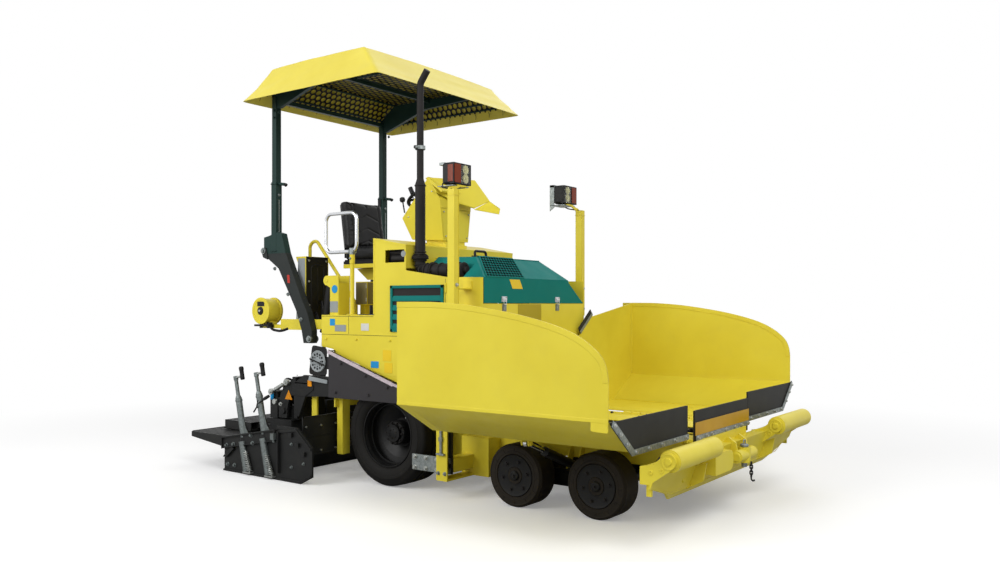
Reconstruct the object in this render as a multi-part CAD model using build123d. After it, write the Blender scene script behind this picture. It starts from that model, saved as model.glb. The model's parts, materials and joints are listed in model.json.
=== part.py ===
from build123d import *
import os
from math import atan2, cos, degrees, hypot, radians, sin

# A compact wheeled asphalt paver, in millimetres.
# x is measured forward from the rear axle, y to the left and z up from the ground.
# Pieces are drawn in that frame, and put() moves them to the part's own origin,
# which is on the ground in the middle of the whole machine.

# Whole machine
FRONT_REACH = 2650.0        # rear axle to the front of the push rollers
REAR_REACH = 2036.0         # rear axle to the rear edge of the outer step
AXLE_X = (REAR_REACH - FRONT_REACH) / 2

# Running clearances
FIT = 0.05                  # radial clearance of a pin or shaft in its bore
SEAT = 0.3                  # between pieces that lie against each other across a joint
RUN = 8.0                   # between pieces that pass each other

# Rear wheels
TYRE_D = 794.0
TYRE_W = 325.0
TYRE_OUT = 689.0            # outer face of a rear tyre from the centre line
RIM_D = 500.0
HUB_D = 190.0

# Front wheels: two a side, one behind the other, each on its own knuckle
FRONT_WHEEL_D = 437.0
FRONT_WHEEL_W = 190.0
FRONT_AXLES = {"front": (1815.0, 632.0), "middle": (1187.0, 650.0)}   # x, outer face
KINGPIN_Y = 405.0
KINGPIN_D = 44.0

# Main frame
FRAME_OUT = 320.0           # outer face of a frame plate from the centre line
FRAME_T = 20.0
FRAME_REAR = -640.0
FRAME_LOW = 230.0
FRAME_TOP = 850.0
RAIL_LOW = 330.0            # front rails under the hopper
RAIL_TOP = 500.0
RAIL_FRONT = 2430.0

# Body
BODY_OUT = 690.0            # outer face of a body side from the centre line
BODY_T = 6.0
BODY_FRONT = 944.0
BODY_LOW = 850.0
DECK_TOP = 1310.0
DECK_REAR = -700.0
COWL_REAR = -117.0
COWL_FRONT = 220.0
COWL_TOP_REAR = 1906.0
COWL_TOP_FRONT = 1843.0
SIDE_TOP = 1585.0           # top of the sides beside the hood

# Hood
HOOD_LOW = 1404.0
HOOD_TOP = 1746.0
HOOD_CREST_X = 700.0        # where the top turns down towards the front
HOOD_REAR = 330.0
HOOD_HINGE = (321.0, 1750.0)
HOOD_T = 5.0
HOOD_EYE_L = 80.0           # length of each hinge barrel
TRAY_Z = 1560.0             # the ledge round the hood's rear

# Hopper
HINGE_Y = 490.0             # wing hinge from the centre line
HINGE_Z = 545.0
HINGE_D = 28.0
WING_OUT = 1497.0
WING_REAR = 880.0
WING_FRONT = 2388.0
WING_TOP = 1410.0
WING_LOW = 765.0            # where the outer wall turns in
WING_KNEE_Y = 1153.0        # where the slanted bottom meets the floor
WING_FLOOR = 563.0
WING_T = 8.0
WING_REAR_WALL = 960.0
WING_STRAIGHT = 215.0       # height of the straight front edge above the outer wall's foot
WING_CURVE = ((53.0, 285.0), (298.0, 142.0), (788.0, 38.0))   # behind the front, below the top
KNUCKLE_L = 70.0
HINGE_KNUCKLES = (1010.0, 1500.0, 1900.0, 2290.0)
FLAP_T = 12.0
FLAP_TOP = 770.0
FLAP_LOW = 580.0
FLAP_STRIP = 34.0           # width of the steel strips along the flaps
FLAP_STRIP_T = 6.0
CENTRE_FLAP_TOP = 733.0
CENTRE_HALF = 455.0

# Wing cylinders: one under each wing, from the frame rail to the wing's floor
WING_CYLINDER_X = 1501.0
WING_FOOT = (FRAME_OUT + 60.0, 285.0)
WING_EYE = (960.0, 512.0)

# Conveyor
CONVEYOR_HALF = 262.0
CONVEYOR_TOP = 520.0
CONVEYOR_H = 150.0
CONVEYOR_REAR = -700.0
CONVEYOR_FRONT = 2330.0
SLAT_PITCH = 150.0

# Push rollers
ROLLER_D = 125.0
ROLLER_Z = 540.0
ROLLER_IN = 567.0
ROLLER_OUT = 1165.0
ROLLER_PIN_D = 32.0
CHEEK_T = 18.0              # plates at the rollers' ends
PANEL_T = 14.0
TOW_TUBE = (2565.0, 415.0)  # x and z of the tube for the towing pin
TOW_BORE_D = 40.0
TOW_TUBE_HALF = 140.0
TOW_BOSS_D = 84.0
TOW_BOSS_HALF = 50.0        # half height of the eye for the towing pin

# Screed
SCREED_FRONT = -1040.0
MAIN_HALF = 730.0           # half of the fixed screed's width
EXT_OUT = 1000.0            # outer face of an end plate as it stands
EXT_LENGTH = 745.0
EXT_IN = 235.0              # travel inwards from where it stands
EXT_MORE = 350.0            # travel outwards
SOLE_T = 12.0
MAIN_REAR = -1290.0
EXT_REAR = -1545.0
STEP_REAR = -REAR_REACH
STEP_TOP = 287.0            # outer steps, which pass under the middle one
STEP_T = 12.0
WALK_REAR = -1925.0         # rear edge of the middle step
END_PLATE_T = 16.0
END_HOLES_X = -1455.0       # middle of the bolt holes for a widening piece
END_HOLES_Z = 140.0
END_SPACING_X = 90.0
END_SPACING_Z = 160.0
END_HOLE_D = 17.0
GUIDE_D = 60.0              # slide tubes of the extensions
GUIDE_X = -1332.0
GUIDE_Z = {"left": 340.0, "right": 190.0}
CRANKS = ((-1317.0, 370.0, -1408.0, 786.0), (-1053.0, 420.0, -1143.0, 829.0))   # foot and head, x and z
SLEEVE_D = 48.0

# Tow arms
TOW_X = 640.0
TOW_Z = 240.0
TOW_PIN_D = 50.0
ARM_IN = 700.0              # inner face of an arm plate
ARM_T = 22.0
ARM_LOW = 655.0
ARM_TOP = 815.0
ARM_REAR = -1000.0
GUARD_IN = 732.0            # wheel guard outside the arm
GUARD_T = 8.0
TOW_FACE = 764.0            # inner face of the post outside the arm's foot

# Lift cylinders: top pin on the deck bracket, eye on the tow arm
LIFT_TOP = (-735.0, 1591.0)
LIFT_EYE = (-886.0, 850.0)
LIFT_Y = 540.0
LIFT_BARREL_D = 90.0
LIFT_ROD_D = 45.0
LIFT_BARREL_L = 440.0
PIN_D = 30.0

# Augers
AUGER_X = -805.0
AUGER_Z = 300.0
AUGER_D = 250.0
AUGER_SHAFT_D = 60.0
AUGER_PITCH = 230.0
AUGER_IN = 70.0
AUGER_OUT = 650.0
STUB_D = 40.0               # journals inside the ends of the auger shafts
STUB_L = 60.0
HANGER_LOW = 720.0          # bottom of the beam that carries the auger case
POST_TOP = 760.0            # top of the outer hangers
CHANNEL_X = (-572.0, -510.0)   # uprights behind the rear wheels
CHANNEL_Y = (560.0, 640.0)

# Canopy
MAST_X = -1308.0
MAST_Y = 650.0
MAST_W = 60.0
MAST_PIVOT = (-1430.0, 1856.0)
MAST_SPLIT = 1830.0         # where the folding mast meets the fixed arm
MAST_TOP = 2440.0           # top of the lower tube
ROOF_RIM = 3100.0
ROOF_RISE = 245.0           # from the rim to the upper fold
ROOF_ARCH = 20.0
ROOF_REAR = -1440.0
ROOF_FRONT = 146.0
ROOF_HALF = 914.0
ROOF_FOLD_REAR = -1180.0
ROOF_FOLD_FRONT = -100.0
ROOF_FOLD_HALF = 810.0
ROOF_T = 14.0
CROSS_H = 40.0              # cross members under the rim
BEAM_DEEP = 90.0

# Exhaust
STACK_X = 275.0
STACK_Y = 590.0             # to the right of the centre line
SILENCER_Z = 1644.0
SILENCER_D = 104.0
SILENCER_END = 700.0
NOTCH_X = 752.0             # the hood is cut back beside the silencer as far as this

# Light poles
POLE_X = 810.0
POLE_Y = 853.0
POLE_W = (60.0, 50.0)       # along x, along y
POLE_TOP = 2190.0
LAMP = (734.0, 727.0, 2315.0)
LAMP_SIZE = (100.0, 200.0, 155.0)

# Rear fittings
REAR_SHELF = -1280.0        # rear edge of the shelf behind the deck
REEL_X = -1470.0
REEL_Z = 1340.0
REEL_D = 200.0

# Operator's place
SEAT_BACK_X = -950.0
SEAT_BASE = 1770.0
WHEEL_HUB = (-190.0, 2300.0)
STEERING_WHEEL_D = 330.0
COLUMN_LEAN = 28.0          # degrees of the column's axis back from upright
CONSOLE_LOW = 1925.0
CONSOLE_TOP = 2410.0
CONSOLE_HALF = (160.0, 225.0)   # half width at the bottom and at the top

SIDES = (("left", 1), ("right", -1))


def put(name, shape):
    """Writes one sub-part, moved to the part's own origin."""
    placed = Pos(AXLE_X, 0, 0) * shape
    placed.label = name
    export_step(placed, f"parts/{name}.step")


def both(shape):
    """The shape with its mirror image on the other side of the centre line."""
    return shape + mirror(shape, about=Plane.XZ)


def on_side(shape, side):
    """A shape drawn on the left, kept there or mirrored to the right."""
    return shape if side > 0 else mirror(shape, about=Plane.XZ)


def block(x_low, x_high, y_low, y_high, z_low, z_high):
    size = (x_high - x_low, y_high - y_low, z_high - z_low)
    middle = ((x_low + x_high) / 2, (y_low + y_high) / 2, (z_low + z_high) / 2)
    return Pos(*middle) * Box(*size)


def outline(points, radius=0.0):
    """A flat face inside a closed outline, its corners rounded to one radius or a list."""
    if radius:
        return make_face(FilletPolyline(*points, radius=radius, close=True))
    return make_face(Polyline(*points, close=True))


def plate_y(points, low, high, radius=0.0):
    """A plate across y: its outline is in x and z."""
    return extrude(Plane.XZ.offset(-high) * outline(points, radius), high - low)


def plate_x(points, low, high, radius=0.0):
    """A plate across x: its outline is in y and z."""
    return extrude(Plane.YZ.offset(low) * outline(points, radius), high - low)


def plate_z(points, low, high, radius=0.0):
    """A plate across z: its outline is in x and y."""
    return extrude(Plane.XY.offset(low) * outline(points, radius), high - low)


def rod_y(x, z, diameter, low, high):
    return Pos(x, (low + high) / 2, z) * Rot(90, 0, 0) * Cylinder(diameter / 2, high - low)


def rod_x(y, z, diameter, low, high):
    return Pos((low + high) / 2, y, z) * Rot(0, 90, 0) * Cylinder(diameter / 2, high - low)


def rod_z(x, y, diameter, low, high):
    return Pos(x, y, (low + high) / 2) * Cylinder(diameter / 2, high - low)


def rod(start, end, diameter):
    """A round bar between two points."""
    line = Line(start, end)
    return sweep((line ^ 0) * Circle(diameter / 2), path=line)


def pipe(points, diameter, radius, bore=0.0):
    """A tube along straight runs joined by tangent arcs."""
    path = FilletPolyline(*points, radius=radius)
    section = Circle(diameter / 2)
    if bore:
        section -= Circle(bore / 2)
    return sweep((path ^ 0) * section, path=path)


def turned(profile, x, z):
    """A shape turned about the axle line at x, z, from a profile of (radius, y) points."""
    face = outline([(radius, y) for radius, y in profile])
    return Pos(x, 0, z) * revolve(face, Axis.Y)


# Rear wheels

def rear_tyre():
    half = TYRE_W / 2
    middle = TYRE_OUT - half
    crown = TYRE_D / 2
    bead = RIM_D / 2
    profile = [(bead, half - 40), (bead + 25, half - 8), (bead + 70, half), (crown - 45, half - 3),
               (crown - 14, half - 22), (crown, half - 60), (crown, 60 - half), (crown - 14, 22 - half),
               (crown - 45, 3 - half), (bead + 70, -half), (bead + 25, 8 - half), (bead, 40 - half)]
    return Pos(0, middle, TYRE_D / 2) * revolve(outline(profile), Axis.Y)


def rear_rim():
    half = TYRE_W / 2
    middle = TYRE_OUT - half
    seat = RIM_D / 2 - SEAT / 10
    well = seat - 12
    dish = [(HUB_D / 2 - 40, -60), (HUB_D / 2 + 20, -60), (well - 50, -20), (well, -46), (well, 40 - half),
            (seat - 6, 42 - half), (seat, 41 - half), (seat, half - 41), (seat - 6, half - 42), (well, half - 60),
            (well, 10), (well - 46, -2), (HUB_D / 2 + 16, -42), (HUB_D / 2 - 40, -42)]
    rim = revolve(outline(dish), Axis.Y)
    hub = Pos(0, -30, 0) * Rot(90, 0, 0) * Cylinder(HUB_D / 2, 120)
    cap = Pos(0, 40, 0) * Rot(90, 0, 0) * Cylinder(HUB_D / 2 - 30, 60)
    return Pos(0, middle, TYRE_D / 2) * (rim + hub + cap)


def front_wheel(x, outer):
    """A solid tyre on its disc, with the shallow ring groove of its face."""
    radius = FRONT_WHEEL_D / 2
    half = FRONT_WHEEL_W / 2
    bore = 30 + FIT
    profile = [(bore, -60), (80, -60), (95, -half + 12), (radius - 14, -half), (radius, -half + 16),
               (radius, half - 16), (radius - 14, half), (150, half), (142, half - 10), (60, half - 10),
               (56, half - 2), (bore, half - 2)]
    return Pos(x, outer - half, radius) * revolve(outline(profile), Axis.Y)


def knuckle(x, outer):
    """A fork on its kingpin, with the stub axle that carries one front wheel."""
    radius = FRONT_WHEEL_D / 2
    inner = outer - FRONT_WHEEL_W
    post = rod_z(x, KINGPIN_Y, KINGPIN_D + 14, 150, 300)
    stub = rod_y(x, radius, 60, KINGPIN_Y, outer - 30)
    collar = rod_y(x, radius, 120, KINGPIN_Y + 24, inner + 35 - SEAT)
    lever = block(x - 120, x, KINGPIN_Y - 20, KINGPIN_Y + 20, 262, 286)
    ball = rod_z(x - 120, KINGPIN_Y, 40, 262, 286)
    return post + stub + collar + lever + ball - rod_z(x, KINGPIN_Y, KINGPIN_D + 2 * FIT, 140, 310)


# Main frame

def main_frame():
    web = FRAME_OUT - FRAME_T
    side = plate_y([(FRAME_REAR, FRAME_LOW), (BODY_FRONT, FRAME_LOW), (BODY_FRONT + 90, RAIL_LOW),
                    (RAIL_FRONT, RAIL_LOW), (RAIL_FRONT, RAIL_TOP), (BODY_FRONT - 10, RAIL_TOP),
                    (BODY_FRONT - 100, FRAME_TOP), (FRAME_REAR, FRAME_TOP)], web, FRAME_OUT)
    axle = rod_y(0, TYRE_D / 2, 180, web, TYRE_OUT - TYRE_W / 2 - 90 - SEAT)
    flange = rod_y(0, TYRE_D / 2, 260, FRAME_OUT, FRAME_OUT + 24)
    guard_out = GUARD_IN + GUARD_T
    box = block(580, 830, web, 470, 136, 420)
    bridge = block(590, 690, 460, TOW_FACE + 11, 136, 150)
    face = block(590, 690, TOW_FACE, TOW_FACE + 11, 136, 760)
    spacer = block(622, 688, guard_out + SEAT, TOW_FACE, 602, 628)
    tow_block = block(600, 690, 460, ARM_IN - RUN, 190, 290)
    tow_pin = rod_y(TOW_X, TOW_Z, TOW_PIN_D, 460, TOW_FACE + 5)
    half = side + axle + flange + box + bridge + face + spacer + tow_block + tow_pin
    foot_y, foot_z = WING_FOOT
    for x in (WING_CYLINDER_X - 50, WING_CYLINDER_X + 38):
        half += plate_x([(FRAME_OUT - 10, 440), (FRAME_OUT - 10, RAIL_LOW + 10), (foot_y - 28, foot_z + 15),
                         (foot_y - 28, foot_z - 23), (foot_y + 24, foot_z - 23), (foot_y + 24, foot_z + 15),
                         (foot_y - 30, 440)], x, x + 12)
    half += rod_x(foot_y, foot_z, 22, WING_CYLINDER_X - 54, WING_CYLINDER_X + 54)
    (rear_x, front_x), (in_y, out_y) = CHANNEL_X, CHANNEL_Y
    half += plate_z([(rear_x, in_y), (front_x, in_y), (front_x, out_y), (rear_x, out_y)], 190, 645)
    half += block(rear_x, rear_x + 16, FRAME_OUT - 4, AUGER_OUT + RUN + 16, 570, POST_TOP)
    floor = block(FRAME_REAR, BODY_FRONT - 44, -web, web, FRAME_LOW, FRAME_LOW + 12)
    crosses = [block(x, x + 16, -web, web, low, high)
               for x, low, high in ((FRAME_REAR, 240, 350), (FRAME_REAR, HANGER_LOW - 20, 800),
                                    (BODY_FRONT - 60, 240, 350), (RAIL_FRONT - 16, RAIL_LOW, RAIL_LOW + 30),
                                    (WING_CYLINDER_X, RAIL_LOW, RAIL_LOW + 30))]
    return both(half) + floor + crosses


def front_bogies():
    """Two cross beams with kingpins, on a rocking beam each side of the rails."""
    radius = FRONT_WHEEL_D / 2
    front_x, middle_x = (FRONT_AXLES[name][0] for name in ("front", "middle"))
    pivot_x = (front_x + middle_x) / 2
    beam_z = RAIL_LOW - 40
    rocker = plate_y([(middle_x - 50, 150), (middle_x + 60, 120), (front_x - 60, 120), (front_x + 50, 150),
                      (front_x + 50, 300), (pivot_x + 90, 316), (pivot_x - 90, 316), (middle_x - 50, 300)],
                     FRAME_OUT - 20, FRAME_OUT + 10, 20)
    shape = rocker
    for x in (front_x, middle_x):
        for low, high in ((124, 148), (302, 320)):
            ear = plate_z([(x - 45, FRAME_OUT), (x + 45, FRAME_OUT), (x + 22, KINGPIN_Y + 26),
                           (x - 22, KINGPIN_Y + 26)], low, high)
            shape += ear
        shape += rod_z(x, KINGPIN_Y, KINGPIN_D, 124, 320)
    hanger = block(pivot_x - 70, pivot_x + 70, FRAME_OUT - 20, FRAME_OUT, 300, RAIL_LOW - SEAT)
    tubes = [rod_y(x, 200, 80, -FRAME_OUT, FRAME_OUT) for x in (front_x, middle_x)]
    return both(shape + hanger) + tubes


# Body

def body_shell():
    side_points = [(DECK_REAR, 1056), (-576, 1039), (0, BODY_LOW), (BODY_FRONT, BODY_LOW),
                   (BODY_FRONT, SIDE_TOP), (620, SIDE_TOP + 7), (COWL_FRONT, 1650), (COWL_FRONT, COWL_TOP_FRONT),
                   (COWL_REAR, COWL_TOP_REAR), (COWL_REAR, DECK_TOP), (DECK_REAR, DECK_TOP)]
    side = plate_y(side_points, BODY_OUT - BODY_T, BODY_OUT)
    slot = block(7, COWL_FRONT - 15, BODY_OUT - 40, BODY_OUT + 1, 1712, 1808)
    intake = block(60, 400, BODY_OUT - 40, BODY_OUT + 1, 1400, 1500)
    half = side - slot - intake
    inner = BODY_OUT - BODY_T
    rear_wall = block(COWL_REAR, COWL_REAR + BODY_T, -inner, inner, DECK_TOP, COWL_TOP_REAR - 6)
    front_wall = block(BODY_FRONT - BODY_T, BODY_FRONT, -inner, inner, HINGE_Z + 15, HOOD_LOW - 4)
    front_wall -= block(BODY_FRONT - 20, BODY_FRONT + 20, -CONVEYOR_HALF - 38, CONVEYOR_HALF + 38, 540, 800)
    cowl_top = plate_y([(COWL_REAR, COWL_TOP_REAR - BODY_T), (COWL_FRONT, COWL_TOP_FRONT - BODY_T),
                        (COWL_FRONT, COWL_TOP_FRONT), (COWL_REAR, COWL_TOP_REAR)], -inner, inner)
    cowl_front = block(COWL_FRONT - BODY_T, COWL_FRONT, -inner, inner, HOOD_TOP - 80, COWL_TOP_FRONT - 2)
    belly = block(COWL_REAR, BODY_FRONT - BODY_T, -inner, inner, FRAME_TOP, FRAME_TOP + BODY_T)
    tray = block(COWL_FRONT - 2, HOOD_REAR - RUN, -inner, inner, TRAY_Z - BODY_T, TRAY_Z)
    side_tray = block(HOOD_REAR - RUN, NOTCH_X - RUN, -inner, -STACK_Y + SILENCER_D / 2, TRAY_Z - BODY_T, TRAY_Z)
    shell = both(half) + [rear_wall, front_wall, cowl_top, cowl_front, belly, tray, side_tray]
    hinge_x, hinge_z = HOOD_HINGE
    for y in (-300, 300):
        for ear_y in (y - HOOD_EYE_L / 2 - 8, y + HOOD_EYE_L / 2 + 2):
            shell += plate_y([(COWL_FRONT - 2, hinge_z - 40), (hinge_x + 4, hinge_z - 6), (hinge_x + 4, hinge_z + 6),
                              (COWL_FRONT - 2, hinge_z + 6)], ear_y, ear_y + 6)
        shell += rod_y(hinge_x, hinge_z, 10, y - HOOD_EYE_L / 2 - 8, y + HOOD_EYE_L / 2 + 8)
    return shell


def engine_block():
    return block(160, 780, -300, 300, FRAME_TOP + BODY_T, 1380)


def rear_deck():
    """The operator's floor with the uprights that hang the lift cylinders."""
    inner = BODY_OUT - BODY_T - SEAT
    floor = block(DECK_REAR, COWL_REAR - SEAT, -inner, inner, DECK_TOP - 8, DECK_TOP)
    floor += block(SEAT_BACK_X + 60, DECK_REAR, -330, 330, DECK_TOP - 20, DECK_TOP)
    back = block(DECK_REAR, DECK_REAR + 8, -inner, inner, 1060, DECK_TOP - 8)
    leg = block(FRAME_REAR, FRAME_REAR + 120, FRAME_OUT - FRAME_T, FRAME_OUT, FRAME_TOP, DECK_TOP - 8)
    top_x, top_z = LIFT_TOP
    gap = LIFT_BARREL_D / 2 + RUN
    upright = plate_y([(-696, DECK_TOP - 2), (-596, DECK_TOP - 2), (-596, top_z + 40), (top_x, top_z + 40),
                       (top_x, top_z - 40), (-696, top_z - 60)], LIFT_Y + gap, LIFT_Y + gap + 10)
    upright += rod_y(top_x, top_z, 80, LIFT_Y + gap, LIFT_Y + gap + 10)
    upright += mirror(upright, about=Plane.XZ.offset(-LIFT_Y))
    pin = rod_y(top_x, top_z, PIN_D, LIFT_Y - gap - 10, LIFT_Y + gap + 14)
    tie = block(-608, -596, LIFT_Y - gap - 10, LIFT_Y + gap + 10, DECK_TOP, top_z - 20)
    beam_in, beam_out = LIFT_Y + gap + 1, MAST_Y - MAST_W / 2 - SEAT
    rear_beam = block(REAR_SHELF - 10, DECK_REAR, beam_in, beam_out, 1190, 1270)
    shelf = block(REAR_SHELF - 10, REAR_SHELF + 260, -beam_out, -290, 1180, 1190)
    reel_arm = block(REEL_X + 60, REAR_SHELF - 10, -beam_out, -beam_in, 1190, 1222)
    cabinet = block(-665, -535, -340, -260, 1390, 1585)
    cabinet += block(-630, -570, -325, -275, DECK_TOP - 2, 1392)
    return both(leg + upright + pin + tie + rear_beam) + [floor, back, shelf, reel_arm, cabinet]


# Hood

def hood():
    """The engine's lid: a front panel, a sloping facet, a flat top and one chamfered end."""
    def skin(wall):
        near, far = -BODY_OUT + BODY_T + 8 + wall, BODY_OUT - BODY_T - 8 - wall
        side = plate_y([(HOOD_REAR + wall, SIDE_TOP - 40), (BODY_FRONT - wall, SIDE_TOP - 40),
                        (BODY_FRONT - wall, SIDE_TOP - wall * 0.4), (HOOD_CREST_X - wall * 0.3, HOOD_TOP - wall),
                        (HOOD_REAR + wall, HOOD_TOP + 10 - wall)], near, far)
        end = plate_x([(near, 1300), (near, SIDE_TOP - wall * 0.3), (-443 + wall * 0.3, HOOD_TOP + 10 - wall),
                       (383 - wall * 0.3, HOOD_TOP + 10 - wall), (455 - wall, SIDE_TOP - 22), (far, HOOD_LOW),
                       (far, 1300)], HOOD_REAR, BODY_FRONT)
        notch_y = -STACK_Y + SILENCER_D / 2 + RUN
        notch = block(HOOD_REAR - 10, NOTCH_X + wall, near - 10, notch_y + wall, 1300, HOOD_TOP + 50)
        return (side & end) - notch
    shell = skin(0) - skin(HOOD_T)
    near, far = -BODY_OUT + BODY_T + 8, BODY_OUT - BODY_T - 8
    panel = plate_x([(near, HOOD_LOW), (far, HOOD_LOW), (455, SIDE_TOP - 22), (445, SIDE_TOP - 5),
                     (near, SIDE_TOP - 5)], BODY_FRONT - HOOD_T, BODY_FRONT)
    hinge_x, hinge_z = HOOD_HINGE
    for y in (-300, 300):
        eye = rod_y(hinge_x, hinge_z, 22, y - HOOD_EYE_L / 2, y + HOOD_EYE_L / 2)
        shell += eye - rod_y(hinge_x, hinge_z, 10 + 2 * FIT, y - HOOD_EYE_L, y + HOOD_EYE_L)
    return shell + panel


# Hopper

def hopper_body():
    floor_x = (BODY_FRONT + SEAT, WING_FRONT + 20)
    eye_in = HINGE_Y - HINGE_D / 2 - 9
    side = block(*floor_x, CONVEYOR_HALF + 8, eye_in - RUN, HINGE_Z - 12, HINGE_Z + 4)
    web = block(*floor_x, FRAME_OUT - FRAME_T + 4, FRAME_OUT - 4, RAIL_TOP, HINGE_Z - 12)
    lip = block(*floor_x, CONVEYOR_HALF + 8, CONVEYOR_HALF + 16, RAIL_TOP + 6, HINGE_Z - 12)
    half = side + web + lip
    for x in HINGE_KNUCKLES:
        half += rod_x(HINGE_Y, HINGE_Z, HINGE_D + 18, x, x + KNUCKLE_L)
        half += block(x, x + KNUCKLE_L, eye_in - RUN, eye_in + 4, HINGE_Z - 12, HINGE_Z + 4)
    half += rod_x(HINGE_Y, HINGE_Z, HINGE_D, BODY_FRONT + 60, WING_FRONT)
    return both(half)


def hopper_wing():
    """A wing with its curved top edge, slanted bottom, floor, rear wall and hinge eyes."""
    start, end = (WING_FRONT, WING_LOW + WING_STRAIGHT), (WING_REAR + 330, WING_TOP)
    bends = [(WING_FRONT - back, WING_TOP - down) for back, down in WING_CURVE]
    curve = Spline(start, *bends, end, tangents=((0, 1), (-1, 0)))
    straight = Polyline(end, (WING_REAR, WING_TOP), (WING_REAR, WING_LOW), (WING_FRONT, WING_LOW), start)
    wall = extrude(Plane.XZ.offset(-WING_OUT) * make_face(curve + straight), WING_T)
    section = [(WING_OUT, WING_LOW), (WING_KNEE_Y, WING_FLOOR), (HINGE_Y + 24, WING_FLOOR),
               (HINGE_Y + 24, WING_FLOOR + WING_T), (WING_KNEE_Y - 2, WING_FLOOR + WING_T),
               (WING_OUT - WING_T, WING_LOW + 5), (WING_OUT - WING_T, WING_LOW + 20), (WING_OUT, WING_LOW + 20)]
    trough = plate_x(section, WING_REAR_WALL, WING_FRONT)
    skirt = plate_x(section, WING_REAR, WING_REAR_WALL) & block(WING_REAR, WING_REAR_WALL, WING_KNEE_Y,
                                                                WING_OUT, 500, WING_TOP)
    rear = plate_x([(WING_OUT - WING_T / 2, WING_TOP - 4), (WING_OUT - WING_T / 2, WING_LOW + 2),
                    (WING_KNEE_Y, WING_FLOOR + 2), (HINGE_Y + 24, WING_FLOOR + 2), (520, 1070),
                    (560, 1110), (790, 1294)], WING_REAR_WALL, WING_REAR_WALL + WING_T)
    wing = wall + trough + skirt + rear
    for x in HINGE_KNUCKLES:
        for eye_x in (x - KNUCKLE_L - 6, x + KNUCKLE_L + 6):
            if eye_x + KNUCKLE_L < WING_FRONT and eye_x > WING_REAR_WALL:
                eye = rod_x(HINGE_Y, HINGE_Z, HINGE_D + 18, eye_x, eye_x + KNUCKLE_L)
                strap = block(eye_x, eye_x + KNUCKLE_L, HINGE_Y, HINGE_Y + 60, HINGE_Z + 6, WING_FLOOR + 2)
                wing += eye + strap
    wing -= rod_x(HINGE_Y, HINGE_Z, HINGE_D + 2 * FIT, WING_REAR, WING_FRONT + 1)
    lug_y, lug_z = WING_EYE     # the rod's eye stands between two lugs, whose pin heads show outside
    for x in (WING_CYLINDER_X - 32, WING_CYLINDER_X + 20):
        wing += plate_x([(lug_y - 30, WING_FLOOR + 2), (lug_y + 30, WING_FLOOR + 2), (lug_y + 18, lug_z - 16),
                         (lug_y - 18, lug_z - 16)], x, x + 12)
    for x in (WING_CYLINDER_X - 38, WING_CYLINDER_X + 32):
        wing += rod_x(lug_y, lug_z, 30, x, x + 6)
    return wing


def wing_flap():
    """A rubber flap across a wing's front with its steel strip along the foot and the slanted end."""
    inner, knee, outer = HINGE_Y + 26, WING_KNEE_Y + 100, WING_OUT - 12
    sheet = plate_x([(inner, FLAP_LOW), (knee, FLAP_LOW), (outer, WING_LOW), (outer, FLAP_TOP), (inner, FLAP_TOP)],
                    WING_FRONT + SEAT, WING_FRONT + FLAP_T)
    fall = FLAP_STRIP / 2
    strip = plate_x([(inner, FLAP_LOW - fall), (knee + 8, FLAP_LOW - fall), (outer + 4, WING_LOW - fall),
                     (outer - 10, WING_LOW + fall), (knee - 8, FLAP_LOW + fall), (inner, FLAP_LOW + fall)],
                    WING_FRONT + FLAP_T, WING_FRONT + FLAP_T + FLAP_STRIP_T)
    return sheet + strip


def centre_flap():
    """The middle rubber sheet behind a steel plate, clamped by a strip at its foot."""
    x = WING_FRONT + FLAP_T + RUN
    face = x + FLAP_T
    strip_low = HINGE_Z
    sheet = block(x, face, -CENTRE_HALF, CENTRE_HALF, RAIL_TOP + 8, CENTRE_FLAP_TOP)
    plate = block(face, face + 5, -CENTRE_HALF - 5, CENTRE_HALF + 5, strip_low, 660)
    strip = block(face + 5, face + 5 + FLAP_STRIP_T - 2, -CENTRE_HALF, CENTRE_HALF, strip_low, strip_low + FLAP_STRIP)
    return sheet + plate + strip


# Wing cylinders

def aligned(shape, start, end):
    """Turns a shape drawn along +x from the origin so that it runs from start to end in y and z."""
    angle = degrees(atan2(end[1] - start[1], end[0] - start[0]))
    return Pos(0, start[0], start[1]) * Rot(angle, 0, 0) * shape


def wing_barrel():
    length = 400
    body = Pos(0, (length + 22) / 2, 0) * Rot(90, 0, 0) * Cylinder(32, length - 22)
    eye = Rot(0, 90, 0) * Cylinder(26, 60)
    body -= Pos(0, length / 2 + 45, 0) * Rot(90, 0, 0) * Cylinder(15 + FIT, length)
    body += eye
    body -= Rot(0, 90, 0) * Cylinder(11 + FIT, 70)
    return Pos(WING_CYLINDER_X, 0, 0) * aligned(body, WING_FOOT, WING_EYE)


def wing_rod():
    reach = hypot(WING_EYE[0] - WING_FOOT[0], WING_EYE[1] - WING_FOOT[1])
    bar = Pos(0, (reach + 100) / 2, 0) * Rot(90, 0, 0) * Cylinder(15, reach - 140)
    eye = Pos(0, reach, 0) * Rot(0, 90, 0) * Cylinder(24, 24)
    bar += eye
    return Pos(WING_CYLINDER_X, 0, 0) * aligned(bar, WING_FOOT, WING_EYE)


# Conveyor

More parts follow.
